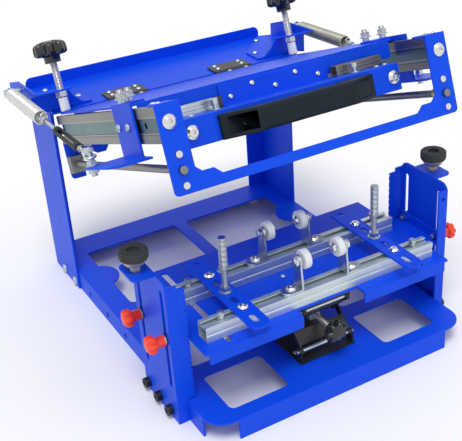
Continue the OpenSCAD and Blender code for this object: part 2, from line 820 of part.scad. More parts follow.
// Column drawn at the left side; its notched flange is at the front there
module column() {
    wall = [-column_face, -column_inner];
    y = [column_y - column_width / 2, column_y + column_width / 2];
    corner = 12;
    difference() {
        union() {
            slab(wall, y, [0, column_height - corner]);
            slab(wall, y + [corner, -corner], [0, column_height]);
            for (cy = y + [corner, -corner]) translate([0, cy, column_height - corner])
                rod_x(2 * corner, wall);
            slab([-column_face, -base_half], [y[0], y[0] + sheet], [0, column_flange_height]);
            slab([-column_face, -base_half], [y[1] - sheet, y[1]], [0, column_flange_height]);
            slab([-base_half - 1, -notched_edge], [y[0], y[0] + sheet],
                [base_height + 3, column_flange_height - 6]);
            slab([-column_tab_end + 8, -column_inner],
                [column_y - column_tab_width / 2, column_y + column_tab_width / 2],
                [column_height - sheet, column_height]);
            slab([-column_tab_end, -column_inner],
                [column_y - column_tab_width / 2 + 8, column_y + column_tab_width / 2 - 8],
                [column_height - sheet, column_height]);
            for (s = [-1, 1])
                translate([-column_tab_end + 8, column_y + s * (column_tab_width / 2 - 8), 0])
                    rod(16, [column_height - sheet, column_height]);
        }
        for (sy = [y[0] + slot_inset, y[0] + slot_inset + slot_spacing]) {
            slab(wall + [-1, 1], [sy - slot_width / 2, sy + slot_width / 2],
                [slot_bottom + slot_width / 2, slot_top - slot_width / 2]);
            for (z = [slot_bottom + slot_width / 2, slot_top - slot_width / 2])
                translate([0, sy, z]) rod_x(slot_width, wall + [-1, 1]);
        }
        for (z = [base_height + 2 * notch_pitch : notch_pitch : column_flange_height - notch_pitch])
            slab([-notched_edge - notch_depth, -notched_edge + 1], [y[0] - 1, y[0] + sheet + 1],
                [z, z + notch_width]);
        translate([-(column_face + base_half) / 2, y[1], column_flange_height - 14])
            rod_y(6, [-sheet - 1, 1]);
        column_bolt_places() rod_x(column_bolt + 2 * fit, [-30, 0]);
        translate([-bumper_x, column_y, 0]) rod(bumper_stud + 2 * fit,
            [column_height - 2 * sheet, column_height + 1]);
    }
}
module left_column() color(blue) column();
module right_column() color(blue) turned() column();
module column_hardware() {
    color(black) column_bolt_places() translate([-(column_face - base_half), 0, 0])
        rotate([0, -90, 0]) socket_bolt(column_bolt, column_face - base_half + sheet + 9);
    color(black) column_bolt_places() translate([sheet, 0, 0]) rotate([0, 90, 0]) difference() {
        cylinder(d = 17, h = 8, $fn = hex);
        rod(column_bolt - 1, [-1, 9]);
    }
}
module column_bolts() {
    column_hardware();
    turned() column_hardware();
}
module spacer_tubes() {
    column_bolt_places() difference() {
        rod_x(column_spacer, [-(column_inner - base_half), 0]);
        rod_x(column_bolt + 2 * fit, [-(column_inner - base_half) - 1, 1]);
    }
}
module column_spacers() color(zinc) {
    spacer_tubes();
    turned() spacer_tubes();
}
module on_bumper() both() translate([bumper_x, column_y, column_height]) children();
module bumper_cups() color(tan_zinc) on_bumper() {
    nut = 1.75 * bumper_stud;
    height = 0.75 * bumper_stud;
    rod(bumper_stud, [-sheet - height - 4, bumper_stem + 1]);
    for (z = [0, -sheet - height]) translate([0, 0, z]) cylinder(d = nut, h = height, $fn = hex);
    translate([0, 0, bumper_stem]) cylinder(d1 = cup_diameter, d2 = bumper_diameter - 1,
        h = cup_height);
}
module bumper_pads() color(rubber) on_bumper() translate([0, 0, bumper_stem + cup_height])
    difference() {
        rotate_extrude() {
            square([bumper_diameter / 2 - pad_edge, bumper_thickness]);
            translate([0, pad_edge])
                square([bumper_diameter / 2, bumper_thickness - 2 * pad_edge]);
            for (y = [pad_edge, bumper_thickness - pad_edge])
                translate([bumper_diameter / 2 - pad_edge, y]) circle(pad_edge);
        }
        rod(bumper_recess, [bumper_thickness - recess_depth, bumper_thickness + 1]);
    }

/* Head body, drawn in the head's frame */
module side_stud_places() {
    for (p = stud_places) translate([p[0], -p[1], 0]) children();
}
module moving_leaf_screw_places() {
    for (x = [-15, 15]) translate([hinge_x + x, -17, 0]) children();
}
module head_plate() color(blue) on_head() {
    x = head_half;
    difference() {
        union() {
            slab([-x, x], [-head_front + head_corner, -head_rear], [-sheet, 0]);
            slab([-x + head_corner, x - head_corner], [-head_front, -head_rear], [-sheet, 0]);
            both() translate([x - head_corner, -head_front + head_corner, 0])
                rod(2 * head_corner, [-sheet, 0]);
            slab([-x + head_corner, x - head_corner], [-head_front, -head_front + sheet],
                [-head_flange, 0]);
        }
        both() {
            side_stud_places() rod(head_stud + 2 * fit, [-sheet - 1, 1]);
            moving_leaf_screw_places() rod(small_screw + 2 * fit, [-sheet - 1, 1]);
        }
        for (p = tab_screws) translate([p[0], -head_front, p[1]])
            rod_y(small_screw + 2 * fit, [-1, sheet + 1]);
    }
}
module side_bracket(side) color(blue) on_head() at_side(side) {
    wall = [side_face, side_out];
    low = [side_low - sheet, side_low];
    ear = spring_x;
    difference() {
        union() {
            slab([foot_inner, side_out], [-side_rear - 34, -side_rear], [0, sheet]);
            slab(wall, [-side_front, -side_rear], [low[0], sheet]);
            translate([0, 0, low[0]]) linear_extrude(sheet) polygon([
                [side_face, -side_rear - 6], [side_face, -arm_front], [ear - 8, -arm_front],
                [ear + 2, -arm_front + 14], [ear + 9, -eye_s], [ear - 6, -eye_s + 9],
                [ear - 18, -eye_s + 5]]);
            translate([ear, -eye_s, 0]) rod(18, low);
        }
        side_stud_places() rod(head_stud + 2 * fit, [-1, sheet + 1]);
        for (s = side_screw_s) translate([side_face, -s, side_screw_n])
            rod_x(6 + 2 * fit, [-1, sheet + 1]);
        translate([ear, -eye_s, 0]) rod(8 + 2 * fit, low + [-1, 1]);
    }
}
module side_screws() color(zinc) on_head() both() {
    for (s = side_screw_s) translate([side_out, -s, side_screw_n]) rotate([0, 90, 0]) {
        button_screw(6, side_out - slide_inner - slide_width + 4);
        difference() {
            rod(11, [-sheet, -sheet - (side_face - inner_slide_x[1])]);
            rod(6, [-20, 0]);
        }
    }
}
module head_studs() color(zinc) on_head() both() side_stud_places() {
    rod(head_stud, [-sheet, 20]);
    translate([0, 0, sheet]) difference() {
        cylinder(d = head_stud + 2, h = 5);
        rod(head_stud, [-1, 6]);
    }
    translate([0, 0, sheet + 5]) difference() {
        union() {
            cylinder(d = head_stud * 2.1, h = 1.5);
            translate([0, 0, 1.5]) cylinder(d = head_stud * 1.75, h = 6.5, $fn = hex);
        }
        rod(head_stud, [-1, 9]);
    }
}
module moving_leaves() color(black) on_head() both() translate([hinge_x, 0, 0]) {
    third = hinge_length / 6;
    low = [-sheet - leaf, -sheet];
    difference() {
        union() {
            slab([-hinge_length / 2 + 4, hinge_length / 2 - 4], [-30, -knuckle_radius - 1], low);
            slab([-third, third], [-knuckle_radius - 2, 0], low + [1, 0]);
        }
        for (x = [-15, 15]) translate([x, -17, 0]) rod(small_screw + 2 * fit, low + [-1, 1]);
        rod_x(2 * knuckle_radius - 1, [-third - 1, third + 1]);
    }
    knuckle([-third, third]);
}
module moving_leaf_screws() color(zinc) on_head() both() moving_leaf_screw_places()
    button_screw(small_screw, sheet + leaf + 2);
module shelf_screw_places() {
    for (x = shelf_screw_x) translate([x, -plate_front + 18, shelf_n]) children();
}
module shelf_bolt_places() {
    translate([shelf_bolt.x, -shelf_bolt.y, shelf_n]) children();
}
module handle_plate() color(blue) on_head() {
    tab_y = [-head_front - sheet, -head_front];
    difference() {
        union() {
            slab([-tab_half, tab_half], tab_y, [shelf_n - sheet, tab_top]);
            slab([-plate_half, plate_half], [-plate_front, -head_front],
                [shelf_n - sheet, shelf_n]);
            slab([-plate_half, plate_half], [-plate_front, -plate_back], [plate_low, shelf_n]);
        }
        for (p = tab_screws) translate([p[0], -head_front, p[1]])
            rod_y(small_screw + 2 * fit, [-sheet - 1, 1]);
        both() {
            shelf_bolt_places() rod(6 + 2 * fit, [-sheet - 1, 1]);
            shelf_screw_places() rod(small_screw + 2 * fit, [-sheet - 1, 1]);
            translate([front_screw_x, -plate_front, front_screw_n])
                rod_y(large_screw + 2 * fit, [-1, sheet + 1]);
            translate([handle_half - 34, -plate_front, handle_top - handle_height / 2])
                rod_y(5 + 2 * fit, [-1, sheet + 1]);
        }
    }
}
module plate_screws() {
    color(chrome) on_head() {
        for (p = tab_screws) translate([p[0], -head_front - sheet, p[1]])
            rotate([90, 0, 0]) button_screw(small_screw, 2 * sheet + 3);
        both() translate([front_screw_x, -plate_front, front_screw_n])
            rotate([90, 0, 0]) button_screw(large_screw, sheet + 9);
    }
}
module shelf_bolts() on_head() both() {
    shelf_screw_places() button_screw(small_screw, sheet + 3);
    shelf_bolt_places() {
        rod(6, [-sheet - 6, 12]);
        difference() {
            cylinder(d = 14, h = 1.2);
            rod(6, [-1, 2]);
        }
        translate([0, 0, 7]) difference() {
            cylinder(d = 11, h = 6);
            rod(6, [-1, 5]);
        }
    }
}
module handle() color(slate) on_head() {
    z = handle_top - handle_height;
    mid = handle_top - handle_height / 2;
    edge = 3;
    difference() {
        translate([0, 0, z]) linear_extrude(handle_height) polygon([
            [-handle_half, -plate_front], [-handle_half, -plate_front - 6],
            [-grip_half - edge, -plate_front - handle_reach + 1],
            [-grip_half + edge, -plate_front - handle_reach],
            [grip_half - edge, -plate_front - handle_reach],
            [grip_half + edge, -plate_front - handle_reach + 1],
            [handle_half, -plate_front - 6], [handle_half, -plate_front]]);
        slab([-finger_half, finger_half], [-plate_front - finger_gap, -plate_front + 1],
            [z - 1, handle_top + 1]);
        both() slab([grip_half + 6, handle_half - 9], [-plate_front - handle_reach - 1, -plate_front - 5],
            [z + 5, handle_top - 5]);
        both() translate([handle_half - 34, -plate_front, mid])
            rod_y(5 + 2 * fit, [-handle_reach, 1]);
        for (s = [0, 1]) translate([0, -plate_front - handle_reach, s == 0 ? z : handle_top])
            rotate([45, 0, 0]) cube([4 * handle_half, 5, 5], center = true);
    }
}
module handle_screws() color(zinc) on_head() both()
    translate([handle_half - 34, -plate_front - 5, handle_top - handle_height / 2])
        rotate([90, 0, 0]) {
            cylinder(d = 9, h = 4);
            rod(5, [-5 - sheet - 6, 0]);
        }
// Ribbed rails on the shelf that take the squeegee holder
module holder_profile() {
    difference() {
        square([holder_depth, holder_height]);
        translate([2, 2]) square([holder_depth - 4, holder_height - 2 - 1.5]);
        translate([holder_depth / 2 - 3, holder_height - 2]) square([6, 3]);
        for (y = [4, 8]) translate([-0.5, y]) square([1.2, 1.5]);
    }
}
module holder(x) {
    translate([x[0], -head_front - sheet - holder_depth - 1, shelf_n])
        rotate([90, 0, 90]) linear_extrude(x[1] - x[0]) holder_profile();
}
module holder_rails() color(zinc) on_head() {
    holder(left_holder);
    holder(right_holder);
    slab([left_holder[1], left_holder[1] + holder_cap], [-head_front - sheet - holder_depth - 1.5, -head_front - sheet - 0.5],
        [shelf_n, shelf_n + holder_height + 0.5]);
}
// Inner member of a slide, held by the side bracket
module inner_slide(side) color(teal) on_head() at_side(side) {
    z = [slide_top - slide_height + slide_sheet + slide_play, slide_top - slide_sheet - slide_play];
    x = inner_slide_x;
    difference() {
        slab(x, [-plate_front - 30, -4], z);
        slab([x[0] - 1, x[1] - 1.4], [-plate_front - 31, -3], z + [2, -2]);
        for (s = side_screw_s) translate([slide_inner, -s, side_screw_n])
            rod_x(6 + 2 * fit, [0, slide_width]);
    translate([slide_inner, -slide_hole_s, side_screw_n]) rod_x(slide_hole, [0, slide_width]);
    }
}
module eye_bolts() color(zinc) on_head() both() translate([spring_x, -eye_s, 0]) {
    rod(8, [side_low - sheet - 10, eye_n + 11]);
    difference() {
        union() {
            rod(16, [side_low, side_low + 1.5]);
            translate([0, 0, side_low + 1.5]) cylinder(d = 13, h = 5, $fn = hex);
            translate([0, 0, eye_n + 5]) cylinder(d = 13, h = 5, $fn = hex);
            translate([0, 0, side_low - sheet - 6]) cylinder(d = 14, h = 6, $fn = hex);
            rod(17, [side_low - sheet, side_low - sheet - 1]);
        }
        rod(8, [side_low - sheet - 12, eye_n + 12]);
    }
}

/* Turnbuckles, each along its pull line, and the springs */
module on_pull(side) {
    translate([side * spring_x, eye_yz.x, eye_yz.y]) rotate([pull_angle, 0, 0]) children();
}
module turnbuckle(side) {
    bar = 4;
    color(zinc) on_pull(side) {
        rotate_extrude() translate([eye_radius, 0]) circle(d = eye_wire, $fn = 24);
        difference() {
            rod_y(shank_diameter, [eye_radius, buckle_near + 4]);
            rod(2 * eye_radius, [-eye_wire, eye_wire]);
        }
        translate([0, buckle_near - 6, 0]) rotate([-90, 0, 0]) cylinder(d = 9, h = 5, $fn = hex);
        rod_y(shank_diameter, [buckle_far - 4, link_length]);
        translate([0, buckle_far + 1, 0]) rotate([-90, 0, 0]) cylinder(d = 9, h = 5, $fn = hex);
        translate([0, link_length - 12, 0]) rod_y(9, [0, 12]);
    }
}
module turnbuckle_piece(side) {
    turnbuckle(side);
    turnbuckle_body(side);
}
module turnbuckle_body(side) color(rubber) on_pull(side) difference() {
    union() {
        for (x = [-1, 1]) translate([x * 4.5, 0, 0])
            slab([-1.6, 1.6], [buckle_near, buckle_far], [-2.5, 2.5]);
        rod_y(12, [buckle_near, buckle_near + 9]);
        rod_y(12, [buckle_far - 9, buckle_far]);
    }
    rod_y(shank_diameter + 2 * fit, [buckle_near - 1, buckle_near + 10]);
    rod_y(shank_diameter + 2 * fit, [buckle_far - 10, buckle_far + 1]);
}
// Wound spring: straight ends on the middle line, a lead-in, the curls and a lead-out
ring_sides = 6;
rings_per_curl = 8;
lead_rings = 6;
coil_radius = (spring_diameter - spring_wire) / 2;
coil_start = spring_wire + spring_lead;
coil_pitch = (spring_length - 2 * coil_start) / spring_curls;
function eased(u) = (1 - cos(180 * u)) / 2;
function lead_in(u) = let (a = -200 * (1 - u), r = coil_radius * eased(u))
    [r * cos(a), r * sin(a), spring_wire + spring_lead * u];
function spring_path() = concat(
    [[0, 0, 0]],
    [for (k = [0 : lead_rings - 1]) lead_in(k / lead_rings)],
    [for (k = [0 : spring_curls * rings_per_curl]) let (a = k * 360 / rings_per_curl)
        [coil_radius * cos(a), coil_radius * sin(a),
            coil_start + k * coil_pitch / rings_per_curl]],
    [for (k = [lead_rings - 1 : -1 : 0]) let (p = lead_in(k / lead_rings))
        [p.x, -p.y, spring_length - p.z]],
    [[0, 0, spring_length]]);
coil = spring_path();
coil_count = len(coil);
function unit(v) = v / norm(v);
function heading(k) = unit(coil[min(k + 1, coil_count - 1)] - coil[max(k - 1, 0)]);
// Reference directions carried along the path without twist
function carried(k, last) = let (t = heading(k), v = last - (last * t) * t) unit(v);
sides_along = [for (k = 0, n = [1, 0, 0]; k < coil_count;
    n = k + 1 < coil_count ? carried(k + 1, n) : n, k = k + 1) n];
coil_points = [for (k = [0 : coil_count - 1])
    let (t = heading(k), n = sides_along[k], b = cross(t, n))
    for (j = [0 : ring_sides - 1]) let (a = j * 360 / ring_sides)
        coil[k] + spring_wire / 2 * (cos(a) * n + sin(a) * b)];
coil_faces = concat(
    [[for (j = [0 : ring_sides - 1]) j]],
    [for (k = [0 : coil_count - 2], j = [0 : ring_sides - 1])
        let (i = (j + 1) % ring_sides, p = k * ring_sides, q = p + ring_sides)
        [p + i, p + j, q + j, q + i]],
    [[for (j = [ring_sides - 1 : -1 : 0]) (coil_count - 1) * ring_sides + j]]);
// Least gap between parts of the wire more than half a curl apart
coil_gap = min([for (k = [0 : rings_per_curl * 3], m = [k + rings_per_curl - 2 :
    min(k + rings_per_curl * 2, coil_count - 1)]) norm(coil[k] - coil[m])]) - spring_wire;
echo(coil_gap = coil_gap, coil_pitch = coil_pitch, link_length = link_length,
    pull_angle = pull_angle, pull_length = pull_length);
module spring(side) color(chrome) translate([side * spring_x, anchor_yz.x, anchor_yz.y])
    rotate([90 + pull_angle, 0, 0]) translate([0, 0, bush_radius])
        polyhedron(points = coil_points, faces = coil_faces, convexity = 10);

// Grooved bush that turns on the anchor pin and carries the spring
module spring_bush(side) color(zinc) translate([side * spring_x, anchor_yz.x, anchor_yz.y])
    difference() {
        rod_x(2 * bush_radius, [-bush_width / 2, bush_width / 2]);
        rod_x(anchor_pin + 2 * fit, [-bush_width, bush_width]);
    }

/* Stop screws, square to the raised head */
module stop_screw_rod(side) {
    color(chrome) at_side(side) on_stop() rod(stop_screw, [tip_length - 8, stop_knob_rise + 4]);
    stop_tip(side);
}
module stop_tip(side) color(white) at_side(side) on_stop() difference() {
    rotate_extrude() {
        translate([0, 3]) square([tip_diameter / 2, tip_length - 3]);
        square([tip_diameter / 2 - 3, tip_length]);
        translate([tip_diameter / 2 - 3, 3]) circle(3);
    }
    rod(stop_screw, [tip_length - 8, tip_length + 1]);
}
module stop_knob(side) color(black) at_side(side) on_stop()
    translate([0, 0, stop_knob_rise])
        star_knob(stop_knob, stop_knob_height, 7, 24, 10, stop_screw);
module stop_nuts() color(zinc) both() on_stop() translate([0, 0, stop_plate_rise - 8])
    nut(stop_screw, 8);

/* Carriage body, drawn in the head's frame */
module on_rod() {
    translate([rod_x, 0, rod_n]) children();
}
module bushing_places() {
    for (z = [-bushing_bolt, bushing_bolt]) translate([rod_x, 0, rod_n + z]) children();
}
module tab_screw_places() {
    for (y = [8, 22]) translate([slide_inner + 3, -frame_back + y, slide_top + sheet])
        children();
}
module front_frame() color(blue) on_head() {
    y = [-frame_front, -frame_back];
    difference() {
        union() {
            both() {
                slab([frame_arm_inner, frame_half], y, [frame_low + 6, frame_top]);
                slab([frame_arm_inner, frame_half - 6], y, [frame_low, frame_top]);
                translate([frame_half - 6, 0, frame_low + 6]) rod_y(12, y);
                translate([0, -frame_back, 0]) rotate([90, 0, 0]) linear_extrude(sheet)
                    polygon([[frame_gusset_inner, frame_bar - 1], [frame_gusset_inner, frame_bar],
                        [frame_gusset_inner + 10, frame_gusset], [frame_arm_inner - 8, frame_gusset],
                        [frame_arm_inner + 1, frame_gusset + 8], [frame_arm_inner + 1, frame_bar - 1]]);
                slab([frame_arm_inner + 4, rear_half], [-frame_back, -frame_back + frame_tab],
                    [slide_top, slide_top + sheet]);
            }
            slab([-frame_arm_inner - 1, frame_arm_inner + 1], y, [frame_low, frame_bar]);
            slab([-frame_lip_half, frame_lip_half], [-frame_back, -frame_back + frame_lip],
                [frame_low, frame_low + sheet]);
        }
        both() {
            on_rod() rod_y(rod_diameter + 2 * fit, y + [-1, 1]);
            bushing_places() rod_y(5 + 2 * fit, y + [-1, 1]);
            translate([rod_x + 2, 0, arm_screw_n]) rod_y(large_screw + 2 * fit, y + [-1, 1]);
            tab_screw_places() rod(small_screw + 2 * fit, [-sheet - 1, 1]);
        }
    }
}
module outer_slide(side) color(steel) on_head() at_side(side) {
    y = [-frame_back, -slide_rear];
    x = [slide_inner, slide_inner + slide_width];
    z = [slide_top - slide_height, slide_top];
    difference() {
        slab(x, y, z);
        slab([x[0] + slide_sheet, x[1] - slide_sheet], y + [-1, 1],
            [z[0] + slide_sheet, z[1] - slide_sheet]);
        slab([x[1] - slide_sheet - 1, x[1] + 1], y + [-1, 1], [z[0] + slide_lip, z[1] - slide_lip]);
        tab_screw_places() rod(small_screw + 2 * fit, [-sheet - slide_sheet - 0.5, 1]);
    }
}
module rear_frame() color(blue) on_head() {
    y = [-slide_rear, -slide_rear + sheet];
    difference() {
        union() {
            both() {
                slab([rear_arm_inner, rear_half], y, [rear_low + 6, slide_top - 3]);
                slab([rear_arm_inner, rear_half - 6], y, [rear_low, slide_top - 3]);
                translate([rear_half - 6, 0, rear_low + 6]) rod_y(12, y);
                translate([0, y[1], 0]) rotate([90, 0, 0]) linear_extrude(sheet)
                    polygon([[rear_gusset_inner, rear_bar[1] + 1], [rear_gusset_inner, rear_bar[1]],
                        [rear_gusset_inner + 10, rear_gusset], [rear_arm_inner - 26, rear_gusset],
                        [rear_arm_inner - 6, rear_bar[1]], [rear_arm_inner + 1, rear_bar[1] - 10],
                        [rear_arm_inner + 1, rear_bar[1] + 1]]);
            }
            slab([-rear_arm_inner - 1, rear_arm_inner + 1], y, rear_bar);
        }
        both() {
            // Room for the inner slide, as wide as the hollow of the outer slide
            slab([slide_inner + slide_sheet, rear_half + 1], y + [-1, 1],
                [slide_top - slide_height + slide_sheet, slide_top]);
            on_rod() rod_y(rod_diameter + 2 * fit, y + [-1, 1]);
            translate([rear_stop_x, 0, (rear_bar[0] + rear_bar[1]) / 2])
                rod_y(6 + 2 * fit, y + [-1, 1]);
        }
    }
}
module guide_rods() color(steel) on_head() both() on_rod()
    rod_y(rod_diameter, [-frame_front - 5, -slide_rear + sheet + 3]);
module bushings() color(zinc) on_head() both() difference() {
    union() {
        on_rod() {
            rod_y(bushing_barrel, [-frame_back, -frame_back + 15]);
            slab([-10, 10], [-frame_back, -frame_back + 4], [-bushing_bolt, bushing_bolt]);
        }
        bushing_places() rod_y(17, [-frame_back, -frame_back + 4]);
    }
    on_rod() rod_y(rod_diameter + 2 * fit, [-frame_front, -frame_back + 16]);
    bushing_places() rod_y(5 + 2 * fit, [-frame_front, -frame_back + 16]);
}
module bushing_nuts() color([0.72, 0.68, 0.36]) on_head() both() bushing_places()
    translate([0, -frame_back + 8, 0]) rotate([90, 0, 0]) nut(5, 4);
module frame_screws() {
    bushing_nuts();
    front_screws();
}
module front_screws() color(chrome) on_head() both() {
    bushing_places() translate([0, -frame_front, 0]) rotate([90, 0, 0]) {
        cylinder(d = 8.5, h = 1.8);
        rod(5, [-sheet - 11, 0]);
    }
    translate([rod_x + 2, -frame_front, arm_screw_n]) rotate([90, 0, 0])
        button_screw(large_screw, sheet);
    tab_screw_places() button_screw(small_screw, sheet + slide_sheet);
}
module rod_blocks() {
    grey_blocks();
    rear_stops();
    rear_stop_caps();
}
module grey_blocks() color(steel) on_head() both() difference() {
    slab([rear_arm_inner + 2, rear_half], [-slide_rear - 13, -slide_rear], [rod_n - 13, rod_n + 13]);
    on_rod() rod_y(rod_diameter + 2 * fit, [-slide_rear - 14, -slide_rear + 1]);
    translate([rear_arm_inner + 6, 0, rod_n + 8]) rod_y(3, [-slide_rear - 14, -slide_rear - 11]);
}
module rear_stops() {
    z = (rear_bar[0] + rear_bar[1]) / 2;
    color(white) on_head() both() translate([rear_stop_x, 0, z]) difference() {
        rod_y(15, [-slide_rear - 9, -slide_rear]);
        rod_y(6, [-slide_rear - 10, -slide_rear + 1]);
    }
    color(zinc) on_head() both() translate([rear_stop_x, 0, z])
        rod_y(6, [-slide_rear - 9, -slide_rear + sheet + 3]);
}
module rear_stop_caps() color([0.93, 0.80, 0.05]) on_head() both()
    translate([rear_stop_x, 0, (rear_bar[0] + rear_bar[1]) / 2])
        rod_y(15, [-slide_rear - 13, -slide_rear - 9]);

/* Table body */
module clamp_places() {
    for (sy = [slot_inset, slot_inset + slot_spacing])
        translate([-column_face, column_y - column_width / 2 + sy, knob_z]) children();
}
module rail_bolt_places() {
    for (x = [-table_slot_x, table_slot_x], y = [front_rail_y, rear_rail_y])
        translate([x, yf + y, table_z]) children();
}
module table() color(blue) {
    z = [table_z - sheet, table_z];
    ear_x = [column_inner - 1 - sheet, column_inner - 1];
    y = [column_y - column_width / 2 + sheet + 1.5, column_y + column_width / 2 - sheet - 1.5];
    difference() {
        union() {
            slab([-table_half, table_half], [yf + table_front, yf + table_back], z);
            slab([-ear_x[1], ear_x[1]], y, z);
            both() slab(ear_x, y, [z[0], z[1] + table_ear]);
            slab([-table_half + 6, table_half - 6], [yf + table_front, yf + table_front + sheet],
                [z[1] - table_flange, z[1]]);
        }
        slab([-notch_half, notch_half], [yf + table_front - 1, yf + notch_back],
            [z[1] - table_flange - 1, z[1] + 1]);
        both() {
            translate([table_slot_x, 0, 0])
                slot_y(table_slot_width, [yf + table_slot[0], yf + table_slot[1]], z + [-1, 1]);
            jack_head_screw_places() rod(small_screw + 2 * fit, z + [-1, 1]);
        }
        clamp_places() rod_x(clamp_stud + 2 * fit, [0, 10]);
        turned() clamp_places() rod_x(clamp_stud + 2 * fit, [0, 10]);
    }
}
module clamp_hardware() {
    stud = [-knob_neck_length - 6, 13];
    clamp_places() {
        rod_x(clamp_stud, stud);
        difference() {
            union() {
                rod_x(13, [-3, -1.5]);
                translate([column_face - column_inner + 1 + sheet, 0, 0]) rotate([0, 90, 0])
                    rotate(180 / hex) cylinder(d = 11, h = 5, $fn = hex);
            }
            rod_x(clamp_stud, stud + [-1, 1]);
        }
    }
}
module clamp_studs() color(zinc) {
    clamp_hardware();
    turned() clamp_hardware();
}
module clamp_washer() {
    clamp_places() difference() {
        rod_x(15, [-1.5, 0]);
        rod_x(clamp_stud, [-2, 1]);
    }
}
module clamp_washers() color(rubber) {
    clamp_washer();
    turned() clamp_washer();
}
module rail(y) color(zinc) translate([0, yf + y, table_z]) {
    half = rail_width / 2;
    difference() {
        slab([-rail_half, rail_half], [-half, half], [0, rail_height]);
        slab([-rail_half - 1, rail_half + 1], [-half + rail_wall, half - rail_wall],
            [rail_wall, rail_height - rail_wall]);
        slab([-rail_half - 1, rail_half + 1], [-rail_opening / 2, rail_opening / 2],
            [rail_wall + 1, rail_height + 1]);
        for (s = [-1, 1]) slab([-rail_half - 1, rail_half + 1], [s * half, s * (half - 0.8)],
            [rail_height * 0.45, rail_height * 0.62]);
        for (x = [-table_slot_x, table_slot_x]) translate([x, 0, 0])
            rod(8 + 2 * fit, [-1, rail_wall + 1]);
    }
}
module rail_bolts() color(zinc) rail_bolt_places() {
    rod(8, [-sheet - 8, rail_height + 10]);
    difference() {
        union() {
            translate([0, 0, rail_wall]) cylinder(d = 9.5, h = rail_height + 4 - rail_wall);
            translate([0, 0, rail_height + 4]) cylinder(d = 11, h = 4, $fn = hex);
            translate([0, 0, -sheet - 5]) cylinder(d = 13, h = 5, $fn = hex);
        }
        rod(8, [-sheet - 9, rail_height + 11]);
    }
}
module cross_plate(side) color(blue) translate([side * cross_x, 0, 0]) {
    half = cross_width / 2;
    y = [yf + cross_ends[0] + half, yf + cross_ends[1] - half];
    z = [bolt_z, cross_top];
    difference() {
        union() {
            slab([-half, half], y, z);
            for (end = y) translate([0, end, 0]) rod(cross_width, z);
        }
        for (p = [[cross_ends[0] + 14, front_rail_y - 18], [front_rail_y + 14, post_y - 16],
                [post_y + 16, rear_rail_y - 14]])
            slot_y(9, [yf + p[0], yf + p[1]], z + [-1, 1]);
        for (ry = [front_rail_y, rear_rail_y]) translate([0, yf + ry, 0])
            rod(8 + 2 * fit, z + [-1, 1]);
        translate([0, yf + post_y, 0]) rod(8 + 2 * fit, z + [-1, 1]);
        translate([0, yf + cross_ends[1] - half, 0]) rod(9, z + [-1, 1]);
    }
}
module rail_nut(size) {
    translate([0, 0, -rail_wall - 5]) difference() {
        slab([-8, 8], [-9.5, 9.5], [0, 5]);
        rod(size, [-1, 6]);
    }
}
module cross_screws() color(chrome) for (x = [-cross_x, cross_x], y = [front_rail_y, rear_rail_y])
    translate([x, yf + y, 0]) {
        translate([0, 0, cross_top]) button_screw(8, sheet + rail_wall + 7);
        translate([0, 0, bolt_z]) rail_nut(8);
    }
module holder_posts() color(zinc) for (x = [-cross_x, cross_x]) translate([x, yf + post_y, 0]) {
    rod(8, [bolt_z - 8, post_top]);
    difference() {
        union() {
            rod(18, [cross_top, cross_top + 1.5]);
            translate([0, 0, cross_top + 1.5]) cylinder(d = 15, h = 7, $fn = hex);
            rod(15, [post_top - 46, post_top - 44]);
            rod(11, [post_top - 44, post_top]);
            translate([0, 0, bolt_z - 7]) cylinder(d = 14, h = 7, $fn = hex);
        }
        rod(8, [bolt_z - 9, post_top + 1]);
    }
}
module roller_place(side, y) {
    translate([side * roller_x, yf + y, roller_z]) children();
}
module roller_bracket(side, y) color(zinc) translate([0, yf + y, 0]) at_side(side) {
    face = [roller_x + roller_width / 2 + 3, roller_x + roller_width / 2 + 6];
    difference() {
        union() {
            slab([face[0], roller_foot_x + 4], [-11, 11], [bolt_z, cross_top]);
            translate([roller_foot_x + 4, 0, 0]) rod(22, [bolt_z, cross_top]);
            translate([face[0], 0, 0]) rotate([90, 0, 90]) linear_extrude(face[1] - face[0]) {
                polygon([[-11, bolt_z], [11, bolt_z], [11, cross_top + 6], [8, roller_z - 10],
                    [8.5, roller_z], [-8.5, roller_z], [-8, roller_z - 10], [-11, cross_top + 6]]);
                translate([0, roller_z]) circle(8.5);
            }
        }
        translate([0, 0, roller_z]) rod_x(8 + 2 * fit, face + [-1, 1]);
        translate([roller_foot_x, 0, 0]) rod(8 + 2 * fit, [bolt_z - 1, cross_top + 1]);
    }
}
module roller_axle(side, y) {
    x = roller_width / 2;
    color(chrome) roller_place(side, y) at_side(side) {
        rod_x(8, [-x - 1, x + 12]);
        translate([-x - 1, 0, 0]) rotate([0, -90, 0]) button_screw(8, 0.5);
        difference() {
            union() {
                translate([x + 6, 0, 0]) rotate([0, 90, 0]) cylinder(d = 14, h = 5, $fn = hex);
                rod_x(12, [x + gap, x + 3]);
            }
            rod_x(8, [0, x + 14]);
        }
    }
    color(chrome) translate([side * roller_foot_x, yf + y, 0]) {
        translate([0, 0, cross_top]) button_screw(8, sheet + rail_wall + 7);
        translate([0, 0, bolt_z]) rail_nut(8);
    }
}
module roller_axles() {
    for (side = [-1, 1], y = [front_rail_y, rear_rail_y]) roller_axle(side, y);
}
module roller(side, y) color(white) roller_place(side, y) rotate([0, 90, 0])
    translate([0, 0, -roller_width / 2]) difference() {
        rotate_extrude() {
            square([roller_diameter / 2 - 1.5, roller_width], center = false);
            translate([0, 1.5]) square([roller_diameter / 2, roller_width - 3]);
            for (h = [1.5, roller_width - 1.5])
                translate([roller_diameter / 2 - 1.5, h]) circle(1.5);
        }
        rod(8 + 2 * fit, [-1, roller_width + 1]);
    }
